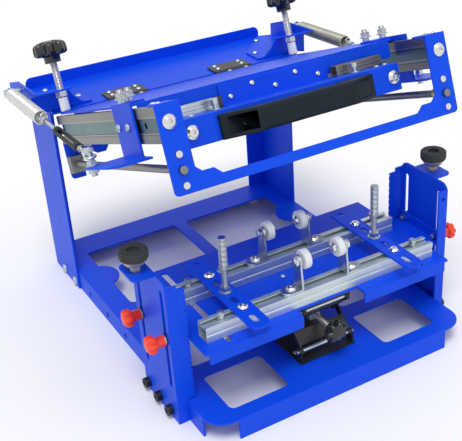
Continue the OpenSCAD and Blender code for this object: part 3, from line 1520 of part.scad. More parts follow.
module red_knob_shape() rotate([0, -90, 0]) difference() {
    union() {
        cylinder(d = knob_neck, h = knob_neck_length);
        translate([0, 0, knob_neck_length]) {
            cylinder(d = knob_diameter * 0.78, h = knob_head);
            for (k = [0 : 6]) rotate(k * 360 / 7) translate([knob_diameter * 0.36, 0, 0])
                cylinder(r = knob_diameter * 0.14, h = knob_head - 2);
        }
    }
    rod(clamp_stud + 2 * fit, [-1, knob_neck_length + 7]);
}
module red_knob(side, index) {
    sy = slot_inset + index * slot_spacing;
    place = [-column_face - 3, column_y - column_width / 2 + sy, knob_z];
    color(red) if (side < 0) translate(place) red_knob_shape();
    color(red) if (side > 0) turned() translate(place) red_knob_shape();
}

/* Jack */
module jack_ear(y, z, up) {
    rotate([90, 0, 90]) linear_extrude(jack_sheet) {
        translate([y, z]) circle(6.5);
        translate([y - 6.5, min(z, z + up)]) square([13, abs(up)]);
    }
}
module jack_base() color(black) {
    floor_z = base_height;
    x = jack_half - 2;
    difference() {
        union() {
            slab([-jack_half, jack_half], [yf + jack_front - 16, yf + jack_back + 16],
                [floor_z, floor_z + jack_sheet]);
            for (sx = [-x, x - jack_sheet], py = jack_pivot_y) translate([sx, 0, 0])
                jack_ear(yf + py, jack_low_z, floor_z - jack_low_z);
        }
        for (py = jack_pivot_y) translate([0, yf + py, jack_low_z])
            rod_x(pivot_rod + 2 * fit, [-jack_half, jack_half]);
        for (sx = [-jack_half + 8, jack_half - 8], y = [jack_front + 10, jack_back - 10])
            translate([sx, yf + y, 0]) rod(small_screw + 2 * fit, [floor_z - 1, floor_z + 4]);
    }
}
module jack_base_rods() {
    for (py = jack_pivot_y) translate([0, yf + py, jack_low_z])
        rod_x(pivot_rod, [-jack_half - 1, jack_half + 1]);
    for (x = [-jack_half + 8, jack_half - 8], y = [jack_front + 10, jack_back - 10])
        translate([x, yf + y, base_height + jack_sheet])
            button_screw(small_screw, jack_sheet + sheet + 2);
}
module jack_head_screw_places() {
    for (y = jack_pivot_y + [jack_head_inset, -jack_head_inset])
        translate([jack_head_screw_x, yf + y, 0]) children();
}
module jack_head() color(black) {
    top = table_z - sheet;
    x = jack_half - 8;
    difference() {
        union() {
            slab([-x, x], [yf + jack_pivot_y[0] - 7, yf + jack_pivot_y[1] + 7], [top - jack_sheet, top]);
            for (sx = [-x, x - jack_sheet], py = jack_pivot_y) translate([sx, 0, 0])
                jack_ear(yf + py, jack_high_z, top - jack_high_z);
        }
        for (py = jack_pivot_y) translate([0, yf + py, jack_high_z])
            rod_x(pivot_rod + 2 * fit, [-jack_half, jack_half]);
        both() jack_head_screw_places() rod(small_screw + 2 * fit, [top - 9, top + 1]);
    }
}
module jack_head_rods() {
    for (py = jack_pivot_y) translate([0, yf + py, jack_high_z])
        rod_x(pivot_rod, [-jack_half + 7, jack_half - 7]);
    both() jack_head_screw_places() translate([0, 0, table_z])
        button_screw(small_screw, sheet + jack_sheet + 2);
}
// One pressed arm from its pivot to the screw's block, drawn along +Y
module jack_arm_shape(half, eye) {
    difference() {
        union() {
            for (x = [-half, half - jack_sheet]) translate([x, 0, 0]) {
                slab([0, jack_sheet], [0, jack_arm], [-5, 5]);
                rod_x(13, [0, jack_sheet]);
                translate([0, jack_arm, 0]) rod_x(13, [0, jack_sheet]);
            }
            slab([-half, half], [7, jack_arm - 18], [5 - jack_sheet, 5]);
        }
        rod_x(pivot_rod + 2 * fit, [-half - 1, half + 1]);
        translate([0, jack_arm, 0]) rod_x(eye, [-half - 1, half + 1]);
    }
}
// end: -1 at the front, 1 at the back
module jack_lower_arm(end) color(black)
    translate([0, yf + jack_pivot_y[end < 0 ? 0 : 1], jack_low_z])
        rotate(end < 0 ? 0 : 180) rotate([jack_angle, 0, 0])
            jack_arm_shape(jack_half - 2 - jack_sheet - gap, pivot_rod + 2 * eye_play);
module jack_upper_arm(end) color(black)
    translate([0, yf + jack_pivot_y[end < 0 ? 0 : 1], jack_high_z])
        rotate(end < 0 ? 0 : 180) rotate([-jack_angle, 0, 0]) mirror([0, 0, 1])
            jack_arm_shape(jack_half - 8 - jack_sheet - gap, pivot_rod + 2 * eye_play);
module jack_block(end) color(zinc)
    translate([0, yf + jack_pivot_y[end < 0 ? 0 : 1] - end * jack_reach, jack_mid_z]) {
        rod_x(pivot_rod, [9, jack_half - 3]);
        rod_x(pivot_rod, [-jack_half + 3, -9]);
        difference() {
            slab([-9, 9], [-7, 7], [-8, 8]);
            rod_y(jack_screw + 2 * fit, [-8, 8]);
        }
    }
module jack_spindle() color(steel) translate([0, yf, jack_mid_z])
    rod_y(jack_screw, [36, jack_pivot_y[1] - jack_reach + 16]);
module jack_star() color(black) translate([0, yf + 36, jack_mid_z]) rotate([90, 0, 0])
    star_knob(jack_knob, 14, 7, 17, 6, jack_screw);

/* Groups of fasteners that belong to one body */
module base_fasteners() color(zinc) {
    post_screws();
    bracket_screws();
    anchor_pins();
    stop_nuts();
    hinge_screws();
    column_spacers();
    jack_base_rods();
}
module head_fasteners() color(zinc) {
    side_screws();
    head_studs();
    moving_leaf_screws();
    eye_bolts();
    handle_screws();
    shelf_bolts();
}
module table_fasteners() color(zinc) {
    rail_bolts();
    holder_posts();
    clamp_studs();
    clamp_washers();
    jack_head_rods();
}
module table_screws() color(chrome) {
    cross_screws();
    roller_axles();
}

// Every separate piece of the machine
// Piece drawn on its own, or all

base_plate();
for (side = [-1, 1]) post(side);  // rear_posts
bridge();
for (side = [-1, 1]) stop_bracket(side);  // stop_brackets
base_fasteners();
hinge_leaves();
union() {  // columns
    left_column();
    right_column();
}
column_bolts();
bumper_cups();
bumper_pads();
jack_base();
head_plate();
for (side = [-1, 1]) side_bracket(side);  // side_brackets
head_fasteners();
moving_leaves();
handle_plate();
plate_screws();
handle();
holder_rails();
for (side = [-1, 1]) inner_slide(side);  // inner_slides
turnbuckle_piece(-1);  // left_turnbuckle
turnbuckle_piece(1);  // right_turnbuckle
spring(-1);  // left_spring
spring(1);  // right_spring
spring_bush(-1);  // left_spring_bush
spring_bush(1);  // right_spring_bush
stop_screw_rod(-1);  // left_stop_screw
stop_screw_rod(1);  // right_stop_screw
stop_knob(-1);  // left_stop_knob
stop_knob(1);  // right_stop_knob
front_frame();
for (side = [-1, 1]) outer_slide(side);  // outer_slides
rear_frame();
guide_rods();
bushings();
frame_screws();
rod_blocks();
table();
for (y = [front_rail_y, rear_rail_y]) rail(y);  // rails
for (side = [-1, 1]) cross_plate(side);  // cross_plates
table_screws();
table_fasteners();
for (side = [-1, 1], y = [front_rail_y, rear_rail_y]) roller_bracket(side, y);  // roller_brackets
jack_head();
roller(-1, front_rail_y);  // front_left_roller
roller(1, front_rail_y);  // front_right_roller
roller(-1, rear_rail_y);  // rear_left_roller
roller(1, rear_rail_y);  // rear_right_roller
red_knob(-1, 0);  // front_left_clamp
red_knob(-1, 1);  // rear_left_clamp
red_knob(1, 1);  // front_right_clamp
red_knob(1, 0);  // rear_right_clamp
jack_lower_arm(-1);  // jack_front_lower
jack_lower_arm(1);  // jack_rear_lower
jack_upper_arm(-1);  // jack_front_upper
jack_upper_arm(1);  // jack_rear_upper
jack_block(-1);  // jack_front_block
jack_block(1);  // jack_rear_block
jack_spindle();
jack_star();
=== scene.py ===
# %% [markdown]
# # A tabletop screen printing press
# The press has a bent blue base, two rear posts with a bridge, and a head that tilts on two
# hinges and carries a sliding screen frame. Springs pull the head up against two stop screws.
# In front stand two slotted columns, and between them a table with rails, rollers and posts
# that a small scissor jack lifts. The metalwork comes from the CAD model, already in place.
# This file gives it rounded edges, finishes, wound springs, knobs, threads and small parts.

import json
import math
import bmesh
import bpy
from mathutils import Matrix, Vector

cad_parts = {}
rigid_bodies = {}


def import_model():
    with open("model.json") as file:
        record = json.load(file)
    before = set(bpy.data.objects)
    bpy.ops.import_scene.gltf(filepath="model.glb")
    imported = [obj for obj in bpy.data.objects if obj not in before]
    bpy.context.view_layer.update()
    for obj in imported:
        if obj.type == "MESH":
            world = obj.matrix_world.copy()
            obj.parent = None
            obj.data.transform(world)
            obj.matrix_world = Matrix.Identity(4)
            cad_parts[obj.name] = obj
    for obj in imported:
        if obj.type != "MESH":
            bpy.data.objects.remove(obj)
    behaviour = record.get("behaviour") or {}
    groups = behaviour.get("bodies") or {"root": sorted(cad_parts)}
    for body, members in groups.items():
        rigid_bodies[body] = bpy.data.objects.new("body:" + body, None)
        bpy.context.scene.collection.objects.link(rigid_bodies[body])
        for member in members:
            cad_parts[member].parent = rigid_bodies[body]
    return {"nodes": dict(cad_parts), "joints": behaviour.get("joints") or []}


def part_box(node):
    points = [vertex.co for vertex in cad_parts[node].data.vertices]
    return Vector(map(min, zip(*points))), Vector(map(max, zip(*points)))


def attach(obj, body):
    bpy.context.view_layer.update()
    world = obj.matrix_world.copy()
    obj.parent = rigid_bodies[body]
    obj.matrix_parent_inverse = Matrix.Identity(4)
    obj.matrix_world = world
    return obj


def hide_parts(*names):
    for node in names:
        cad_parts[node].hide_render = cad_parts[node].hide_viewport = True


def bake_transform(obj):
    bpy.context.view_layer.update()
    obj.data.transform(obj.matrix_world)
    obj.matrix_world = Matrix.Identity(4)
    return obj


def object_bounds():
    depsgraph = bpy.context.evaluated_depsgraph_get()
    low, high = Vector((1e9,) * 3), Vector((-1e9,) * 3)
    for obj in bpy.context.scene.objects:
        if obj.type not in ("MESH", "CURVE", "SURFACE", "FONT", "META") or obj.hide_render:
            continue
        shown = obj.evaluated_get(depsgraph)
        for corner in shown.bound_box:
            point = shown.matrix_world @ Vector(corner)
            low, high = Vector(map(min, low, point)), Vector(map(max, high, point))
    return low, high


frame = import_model()
cad_low, cad_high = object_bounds()
nodes = frame["nodes"]
joints = {joint["name"]: joint for joint in frame["joints"]}
scene = bpy.context.scene
MM = 0.001
print("CAD nodes:", len(nodes), "box in metres:", [round(v, 3) for v in cad_high - cad_low])

# %% [markdown]
# The camera comes first, because everything after it is judged through it. Its place and
# angles were found by matching corners of the machine with the same corners in the
# photograph. The picture was cropped off centre, which the lens shift repeats.

# %% Camera
CAMERA_PLACE = Vector((-0.59475, -1.11289, 0.83697))
AZIMUTH, ELEVATION, ROLL = (math.radians(a) for a in (30.065, 28.995, -2.908))
PICTURE_WIDTH = 462
FOCAL_PIXELS = 936.4
CENTRE_SHIFT_PIXELS = 36.6
SENSOR_MM = 36.0
NEAREST = 0.05

ahead = Vector((math.sin(AZIMUTH) * math.cos(ELEVATION), math.cos(AZIMUTH) * math.cos(ELEVATION),
                -math.sin(ELEVATION)))
level_right = Vector((math.cos(AZIMUTH), -math.sin(AZIMUTH), 0))
level_up = level_right.cross(ahead)
camera_right = math.cos(ROLL) * level_right + math.sin(ROLL) * level_up
camera_up = math.cos(ROLL) * level_up - math.sin(ROLL) * level_right
turn = Matrix((camera_right, camera_up, -ahead)).transposed().to_4x4()

camera_data = bpy.data.cameras.new("camera")
camera_data.sensor_width = SENSOR_MM
camera_data.lens = FOCAL_PIXELS * SENSOR_MM / PICTURE_WIDTH
camera_data.shift_x = -CENTRE_SHIFT_PIXELS / PICTURE_WIDTH
camera_data.clip_start = NEAREST
camera = bpy.data.objects.new("camera", camera_data)
camera.matrix_world = Matrix.Translation(CAMERA_PLACE) @ turn
scene.collection.objects.link(camera)
scene.camera = camera
scene.view_settings.view_transform = "Standard"
print("lens", round(camera_data.lens, 2), "mm")

# %% [markdown]
# Shader maths reads best as plain sums. The class below wraps one output of a node, and its
# operators add Math nodes, so `1 - mask * 0.2` builds the same network that would otherwise
# be wired by hand. A finish is one material with a Principled shader at its end.

# %% Shader maths
class Value:
    """One output of a node in a finish, with Python's own operators."""

    def __init__(self, finish, socket):
        self.finish = finish
        self.socket = socket

    def sum_with(self, operation, first, second):
        return self.finish.add("ShaderNodeMath", {"operation": operation}, {0: first, 1: second})

    def __add__(self, other):
        return self.sum_with("ADD", self, other)

    def __sub__(self, other):
        return self.sum_with("SUBTRACT", self, other)

    def __rsub__(self, other):
        return self.sum_with("SUBTRACT", other, self)

    def __mul__(self, other):
        return self.sum_with("MULTIPLY", self, other)

    __radd__ = __add__
    __rmul__ = __mul__


class Finish:
    """A material with a Principled shader, built node by node."""

    def __init__(self, name):
        self.material = bpy.data.materials.new(name)
        self.material.use_nodes = True
        self.tree = self.material.node_tree
        self.shader = self.tree.nodes["Principled BSDF"]

    def add(self, kind, settings=(), inputs=(), output=0):
        """Adds a node, makes its settings, then sets or links its sockets."""
        node = self.tree.nodes.new(kind)
        for name, value in dict(settings).items():
            if name == "stops":
                ramp = node.color_ramp
                while len(ramp.elements) < len(value):
                    ramp.elements.new(0.5)
                for element, (position, colour) in zip(ramp.elements, value):
                    element.position = position
                    element.color = (*colour, 1)
            else:
                setattr(node, name, value)
        for name, value in dict(inputs).items():
            self.feed(node.inputs[name], value)
        return Value(self, node.outputs[output])

    def feed(self, socket, value):
        if isinstance(value, Value):
            self.tree.links.new(value.socket, socket)
        elif socket.type == "RGBA" and len(value) == 3:
            socket.default_value = (*value, 1)
        else:
            socket.default_value = value

    def place(self):
        """Where a point of the surface is, in the machine's own metres."""
        return self.add("ShaderNodeTexCoord", output="Object")

    def noise(self, size, detail=2.0, stretch=None):
        """Cloudy pattern whose blobs are about size metres across."""
        where = self.place()
        if stretch:
            where = self.add("ShaderNodeMapping", {}, {"Vector": where, "Scale": stretch})
        return self.add("ShaderNodeTexNoise", {}, {"Vector": where, "Scale": 1 / size,
                                                  "Detail": detail})

    def mixed(self, factor, first, second):
        """Colour between first and second."""
        return self.add("ShaderNodeMix", {"data_type": "RGBA"},
                        {"Factor": factor, 6: first, 7: second}, output=2)

    def bump(self, height, depth, strength=1.0):
        """Raises the surface by height, a pattern from 0 to 1, times depth in metres."""
        inputs = {"Height": height, "Distance": depth, "Strength": strength}
        self.wear(Normal=self.add("ShaderNodeBump", {}, inputs))

    def wear(self, **sockets):
        """Feeds the shader's sockets, named with _ for a space."""
        for name, value in sockets.items():
            self.feed(self.shader.inputs[name.replace("_", " ")], value)
        return self


# %% [markdown]
# Powder coat is a thick paint that is baked on. It has a saturated colour, a soft gloss and
# a fine orange peel that shows in reflections. The peel is a noise about a millimetre
# across in the bump, and a slow, faint change of tone keeps big plates from looking flat.

# %% Powder coat
def powder_coat():
    coat = Finish("blue powder coat")
    tone = coat.noise(0.09, 3.0)
    peel = coat.noise(0.0016, 1.0)
    colour = coat.mixed(tone, (0.0015, 0.062, 0.72), (0.003, 0.078, 0.82))
    coat.wear(Base_Color=colour, Roughness=0.36 + 0.1 * coat.noise(0.02, 2.0),
              Specular_IOR_Level=0.16)
    coat.bump(peel, 0.00006, 0.5)
    return coat.material


# %% [markdown]
# Bright zinc has a faint blue cast, and the plating leaves soft cloudy patches and fine
# scratches. Ground steel is greyer with lines along its length. Both are metals, so their
# look comes from roughness more than from colour.

# %% Plated and bare metal
def metal(name, dark, light, roughness, patch=0.012, grain=None):
    """A metal finish: cloudy tone, uneven roughness, and fine lines along an axis if asked."""
    surface = Finish(name)
    cloud = surface.noise(patch, 4.0)
    surface.wear(Base_Color=surface.mixed(cloud, dark, light), Metallic=1.0,
                 Roughness=roughness + 0.16 * surface.noise(patch / 5, 3.0))
    if grain:
        surface.bump(surface.noise(0.0006, 2.0, grain), 0.00002, 0.6)
    else:
        surface.bump(surface.noise(0.0009, 2.0), 0.00002, 0.4)
    return surface.material


# %% [markdown]
# A screw thread is a ridge that winds round a rod. On small screws the ridge is left to bumps: a
# wave runs along the rod's axis, one crest for each pitch. The wave is the cosine of the distance
# along the axis, which needs nothing but the place on the object. The same wave also sets the
# colour, as painted shade in the roots and a painted highlight on the crests.

# %% Threads as bumps
def threaded(name, dark, light, roughness, axis, pitch):
    """Metal with a thread of this pitch, in metres, along this axis, its colour darker in the
    roots as painted shade and lighter on the crests as a painted highlight.
    """
    surface = Finish(name)
    along = surface.add("ShaderNodeVectorMath", {"operation": "DOT_PRODUCT"},
                        {0: surface.place(), 1: tuple(axis)}, output="Value")
    turns = along * (2 * math.pi / pitch)
    wave = surface.add("ShaderNodeMath", {"operation": "COSINE"}, {0: turns}) * 0.5 + 0.5
    cloud = surface.noise(0.01, 3.0)
    # The colour is painted shade in the thread's roots and a painted highlight on its crests.
    surface.wear(Base_Color=surface.mixed(wave, dark, light), Metallic=1.0,
                 Roughness=roughness + 0.12 * cloud)
    surface.bump(wave, 0.0004, 0.8)
    return surface.material


# %% [markdown]
# Plastics and rubber are plain colours with a texture from the mould. The gloss knobs are
# almost smooth, the handle has a fine spark-eroded grain, and rubber is dull with a little
# dust. Nylon lets light in a little, which the subsurface weight gives.

# %% Plastics, rubber and black paint
def moulded(name, dark, light, roughness, grain, depth, **more):
    """A moulded finish. grain is the size of the mould's texture and depth its height."""
    skin = Finish(name)
    tone = skin.noise(0.03, 3.0)
    skin.wear(Base_Color=skin.mixed(tone, dark, light),
              Roughness=roughness + 0.12 * skin.noise(0.006, 3.0), **more)
    skin.bump(skin.noise(grain, 2.0), depth, 0.6)
    return skin.material


# %% [markdown]
# The head leans back, so its pieces are easiest to tell apart in its own directions. The
# tilt joint gives its axis, the slide joint the way forward, and the pull joint the line
# of the springs.

# %% Directions of the head and of the springs
ACROSS = Vector((1, 0, 0))
tilt_axis = Vector(joints["head_tilt"]["pos_m"])
HEAD_FORWARD = Vector(joints["carriage_slide"]["axis"]).normalized()
HEAD_UP = HEAD_FORWARD.cross(ACROSS)
PULL = Vector(joints["left_pull_stretch"]["axis"]).normalized()


def on_head(place):
    """How far a place is across, forward of and up from the head's tilt axis."""
    away = place - tilt_axis
    return away.x, away.dot(HEAD_FORWARD), away.dot(HEAD_UP)


for title, way in (("forward", HEAD_FORWARD), ("up", HEAD_UP), ("pull", PULL)):
    print("head", title, tuple(round(v, 4) for v in way))

# %% [markdown]
# The rolled slides show bands along their length: plain steel at the edges, and a bluish strip
# between two grooves where the balls run. The grooves carry painted shade, and a thin band of
# painted highlight runs along the edge of each. The height over the tilt axis, square to the head,
# tells which band a place is in.

# %% Banded slides
ALONG_DEPTH, ALONG_WIDTH = (1, 0.03, 1), (0.03, 1, 1)


def banded(name, bands):
    """Rolled steel whose colour follows bands, a list of heights in mm and colours."""
    surface = Finish(name)
    low, high = bands[0][0] * MM, bands[-1][0] * MM
    up = surface.add("ShaderNodeVectorMath", {"operation": "DOT_PRODUCT"},
                     {0: surface.place(), 1: tuple(HEAD_UP)}, output="Value")
    share = (up - (tilt_axis.dot(HEAD_UP) + low)) * (1 / (high - low))
    stops = [((height * MM - low) / (high - low), colour) for height, colour in bands]
    colour = surface.add("ShaderNodeValToRGB", {"stops": stops}, {"Fac": share})
    cloud = surface.noise(0.02, 3.0, (1, 0.05, 1))
    surface.wear(Base_Color=surface.mixed(cloud * 0.35, colour, (0.30, 0.30, 0.28)),
                 Metallic=1.0, Roughness=0.27 + 0.14 * cloud)
    surface.bump(surface.noise(0.0006, 2.0, ALONG_DEPTH), 0.00002, 0.5)
    return surface.material


# %% [markdown]
# Here every finish of the machine is mixed. The colours are the linear ones that a shader takes,
# and the two of each finish are the ends between which its clouds go. In the threads the two are
# instead painted shade in the roots and a painted highlight on the crests, and the bands of the
# rolled steel carry painted shade in the grooves and a painted highlight beside them. Plated parts
# differ mostly in tint and roughness: bright zinc is bluish, a chromate nut is yellow, and the
# slides are oiled steel with lines along their length.

# %% Finishes
# GROOVE_SHADE is painted shade in the slides' ball grooves, and EDGE_HIGHLIGHT a painted highlight
# along the edge of each.
PLAIN, GROOVE_SHADE = (0.21, 0.21, 0.195), (0.03, 0.035, 0.04)
STRIP, EDGE_HIGHLIGHT = (0.10, 0.17, 0.19), (0.36, 0.37, 0.36)
# The thread colours are painted shade for the roots and a painted highlight for the crests; the
# colour pairs of the threaded finishes below do the same.
THREAD_ROOT_SHADE, THREAD_CREST_HIGHLIGHT = (0.22, 0.24, 0.25), (0.66, 0.71, 0.74)
rolled = banded("rolled steel", [(-48, PLAIN), (-38.5, PLAIN), (-37.5, GROOVE_SHADE), (-36, EDGE_HIGHLIGHT),
                                 (-33, STRIP), (-21, STRIP), (-19, GROOVE_SHADE), (-17.5, EDGE_HIGHLIGHT),
                                 (-15.5, PLAIN), (-5, PLAIN)])
blue = powder_coat()
zinc = metal("bright zinc", (0.40, 0.45, 0.48), (0.62, 0.68, 0.72), 0.24)
steel = metal("ground steel", (0.20, 0.20, 0.185), (0.29, 0.29, 0.27), 0.34, 0.02, ALONG_DEPTH)
rail_zinc = metal("drawn zinc", (0.50, 0.58, 0.58), (0.72, 0.80, 0.80), 0.44, 0.02, ALONG_WIDTH)
chrome = metal("chrome", (0.62, 0.62, 0.62), (0.74, 0.74, 0.75), 0.12)
dark_steel = metal("blackened steel", (0.03, 0.03, 0.035), (0.06, 0.06, 0.065), 0.34)
tan_zinc = metal("yellow zinc", (0.52, 0.43, 0.30), (0.74, 0.64, 0.48), 0.42)
chromate = metal("chromate nut", (0.55, 0.47, 0.12), (0.68, 0.60, 0.22), 0.3)
teal_steel = metal("oiled steel", (0.075, 0.14, 0.15), (0.15, 0.24, 0.25), 0.26, 0.05,
                   ALONG_DEPTH)
thread_up = threaded("thread upright", THREAD_ROOT_SHADE, THREAD_CREST_HIGHLIGHT, 0.26, (0, 0, 1), 1.25 * MM)
thread_head = threaded("thread square to head", (0.28, 0.28, 0.29), (0.72, 0.72, 0.73), 0.2,
                       HEAD_UP, 1.5 * MM)
thread_pull = threaded("thread along pull", THREAD_ROOT_SHADE, THREAD_CREST_HIGHLIGHT, 0.26, PULL, 0.8 * MM)
thread_deep = threaded("thread along depth", (0.22, 0.22, 0.22), (0.6, 0.6, 0.6), 0.28,
                       (0, 1, 0), 1.25 * MM)
black_sheet = moulded("black enamel", (0.010, 0.010, 0.011), (0.018, 0.018, 0.020), 0.3, 0.0012,
                      0.00003)
black_gloss = moulded("black phenolic", (0.004, 0.005, 0.006), (0.010, 0.011, 0.013), 0.16, 0.002,
                      0.00002, Coat_Weight=0.3, Coat_Roughness=0.1)
slate = moulded("slate handle", (0.003, 0.008, 0.014), (0.007, 0.015, 0.025), 0.46, 0.0005,
                0.00004, Specular_IOR_Level=0.2)
red = moulded("red knob", (0.78, 0.030, 0.006), (0.95, 0.052, 0.012), 0.32, 0.0012, 0.00003,
              Coat_Weight=0.2)
olive_steel = metal("olive steel", (0.30, 0.31, 0.26), (0.46, 0.47, 0.40), 0.28)
nylon = moulded("white nylon", (0.70, 0.73, 0.74), (0.82, 0.84, 0.84), 0.38, 0.0009, 0.00002,
                Subsurface_Weight=0.15, Subsurface_Radius=(0.003, 0.003, 0.003))
yellow = moulded("yellow cap", (0.72, 0.50, 0.02), (0.82, 0.60, 0.03), 0.4, 0.0009, 0.00002)
rubber = moulded("bumper rubber", (0.012, 0.014, 0.014), (0.030, 0.034, 0.034), 0.68, 0.0007,
                 0.00008)
print("finishes:", len([m for m in bpy.data.materials if m.use_nodes]))

# %% [markdown]
# Sheet metal that is bent over a tool has a round outer corner, while its cut edges stay
# nearly sharp. The CAD plates meet square, so a copy of each one is welded into clean faces,
# the folds are found as the sharp edges between two wide faces, and those get a large
# radius. A small bevel then takes the sharpness off every other edge and catches the light.

# %% Rounding folds
SHEET = 3.0 * MM
FOLD = 2.6 * MM
WELD = 0.002 * MM
FLAT_DEGREES, FOLD_DEGREES = 0.3, 60
WIDE = 1.5 * SHEET
LONG = 4
TINY = 1e-9


def clean_copy(node):
    """The node's mesh, welded and with flat areas joined into single faces."""
    shape = bmesh.new()
    shape.from_mesh(nodes[node].data)
    bmesh.ops.remove_doubles(shape, verts=shape.verts, dist=WELD)
    bmesh.ops.dissolve_limit(shape, angle_limit=math.radians(FLAT_DEGREES), verts=shape.verts,
                             edges=shape.edges)
    return shape


def width_of(face):
    """A long strip's width, from its area and its way round."""
    return 2 * face.calc_area() / max(face.calc_perimeter(), TINY)


def is_fold(edge, wide, radius):
    """Whether the sheet was bent here: an outer corner, long, between two wide faces."""
    return (len(edge.link_faces) == 2 and all(wide[face] for face in edge.link_faces)
            and edge.calc_face_angle_signed(0) > math.radians(FOLD_DEGREES)
            and edge.calc_length() > LONG * radius)


def round_folds(shape, radius):
    """Rounds the outer corners where the sheet was bent."""
    wide = {face: width_of(face) > WIDE for face in shape.faces}
    folds = [edge for edge in shape.edges if is_fold(edge, wide, radius)]
    if folds:
        bmesh.ops.bevel(shape, geom=folds, offset=radius, segments=4, profile=0.5,
                        affect="EDGES", clamp_overlap=True)
        bmesh.ops.connect_verts_concave(shape, faces=shape.faces)
        bmesh.ops.dissolve_degenerate(shape, edges=shape.edges, dist=2 * WELD)


# %% [markdown]
# The Bevel modifier rounds only the edges that carry a weight, so the sharp ones are marked
# first. A sliver of a face has no sure direction and would fold over, so its edges stay as
# they are. Weighted normals then keep the big faces flat next to the small round ones.

# %% Fine edges
SLIVER = 0.02 * MM
SHARP_DEGREES, SMOOTH_DEGREES = 38, 50
FLAT_WEIGHT = 90


def mark_sharp(shape):
    """Marks the edges to bevel."""
    weight = shape.edges.layers.float.new("bevel_weight_edge")
    for edge in shape.edges:
        if edge.calc_face_angle(0) > math.radians(SHARP_DEGREES):
            edge[weight] = float(min(width_of(face) for face in edge.link_faces) > SLIVER)


def settle(piece):
    """Turns the modifiers' result into the piece's own mesh."""
    result = bpy.data.meshes.new_from_object(
        piece.evaluated_get(bpy.context.evaluated_depsgraph_get()))
    piece.modifiers.clear()
    old = piece.data
    piece.data = result
    bpy.data.meshes.remove(old)


def shade_smooth(piece, degrees):
    """Shades the faces smoothly, apart from the edges sharper than this."""
    piece.data.polygons.foreach_set("use_smooth", [True] * len(piece.data.polygons))
    piece.data.set_sharp_from_angle(angle=math.radians(degrees))


def soften(piece, width, segments):
    """Bevels the marked edges and shades the rest smoothly, as finished mesh."""
    bevel = piece.modifiers.new("edges", "BEVEL")
    bevel.width = width
    bevel.segments = segments
    bevel.limit_method = "WEIGHT"
    bevel.use_clamp_overlap = False
    bevel.loop_slide = False
    bevel.miter_outer = "MITER_ARC"
    settle(piece)
    shade_smooth(piece, SMOOTH_DEGREES)
    flat = piece.modifiers.new("flat faces stay flat", "WEIGHTED_NORMAL")
    flat.mode = "FACE_AREA"
    flat.weight = FLAT_WEIGHT
    flat.keep_sharp = True
    settle(piece)


# %% [markdown]
# A new piece belongs to the machine like the part it stands for: it rides on the same body.


def finished(name, shape, finishes):
    """An object from a bmesh, with its finishes in order."""
    mesh = bpy.data.meshes.new(name)
    shape.to_mesh(mesh)
    shape.free()
    for finish in finishes:
        mesh.materials.append(finish)
    piece = bpy.data.objects.new(name, mesh)
    scene.collection.objects.link(piece)
    return piece


def body_of(node):
    return nodes[node].parent.name.split(":", 1)[1]


def ride_with(piece, node):
    """The piece is fastened to the node: it rides on the same body."""
    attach(piece, body_of(node))
    return piece


def take_place(piece, node):
    """The piece stands for the node and rides on its body."""
    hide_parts(node)
    return ride_with(piece, node)


def dress(node, *finishes, edge=0.35, fold=0.0, rule=None, segments=2):
    """Replaces a node by a softened copy. rule gives the number of a face's finish."""
    shape = clean_copy(node)
    if fold:
        round_folds(shape, fold)
    if rule:
        for face in shape.faces:
            face.material_index = rule(face.calc_center_median(), face.normal)
    mark_sharp(shape)
    piece = finished(node + "_piece", shape, finishes)
    soften(piece, edge * MM, segments)
    print(node, len(piece.data.polygons), "faces")
    return take_place(piece, node)


# %% [markdown]
# All the blue sheet-metal pieces are made the same way, with round folds and fine edges.
# The cross plates are flat, so they have no fold.

# %% Blue sheet metal
for node in ("base_plate", "rear_posts", "bridge", "stop_brackets", "columns", "head_plate",
             "side_brackets", "handle_plate", "front_frame", "rear_frame", "table"):
    dress(node, blue, fold=FOLD, edge=0.4)
dress("cross_plates", blue, edge=0.5)

# %% [markdown]
# Nuts, screws, studs and rods come as groups, one for each body that they are fastened to.
# A rule looks at where a face is and names its finish, so that a stud can have a thread
# while the nut on it stays plain.

# %% Fasteners of the base and the hinges
dress("base_fasteners", zinc, edge=0.25)
dress("column_bolts", dark_steel, edge=0.4)
dress("hinge_leaves", black_sheet, edge=0.3)
dress("moving_leaves", black_sheet, edge=0.3)

# %% [markdown]
# On the head the same rule works in the head's own directions: the sides of the studs in
# front get a thread that runs square to the head, and the nuts on them stay plain.

# %% Fasteners of the head
STUDS_FORWARD, STUDS_UP = 200 * MM, 9 * MM
SIDEWAYS = 0.2


def head_fastener_finish(place, normal):
    across, forward, up = on_head(place)
    on_side = abs(normal.dot(HEAD_UP)) < SIDEWAYS
    return int(on_side and up > STUDS_UP and forward > STUDS_FORWARD)


dress("head_fasteners", zinc, thread_head, edge=0.25, rule=head_fastener_finish)
dress("plate_screws", chrome, edge=0.25)

# %% [markdown]
# The two short holder rails aren't alike: the left one is bright, with a black band near its end
# that is painted shade in the dark gap before the bolt, and the right one is plain steel. The
# slides beside them are oiled, the inner one dark and bluish, and the outer one banded.

# %% Holder rails and slides
GAP_SHADE_FROM, GAP_SHADE_TO = -94.2 * MM, -87 * MM


def holder_finish(place, normal):
    if place.x > 0:
        return 2
    # Faces in this stretch of the left rail get black gloss as painted shade of the gap before the
    # bolt.
    return int(GAP_SHADE_FROM < place.x < GAP_SHADE_TO)


dress("holder_rails", zinc, black_gloss, steel, edge=0.25, rule=holder_finish)
dress("inner_slides", teal_steel, edge=0.3)
dress("outer_slides", rolled, edge=0.4)

# %% [markdown]
# Under each slide runs a ground steel guide rod. It is held behind the front frame by a
# yellow chromate bushing and nut, while the frames' own button screws are chromed.

# %% Guide rods and the screws of the frames
NUTS_BEHIND, NUTS_BELOW = 386.5 * MM, -50 * MM


def frame_screw_finish(place, normal):
    across, forward, up = on_head(place)
    return int(forward < NUTS_BEHIND and up < NUTS_BELOW)


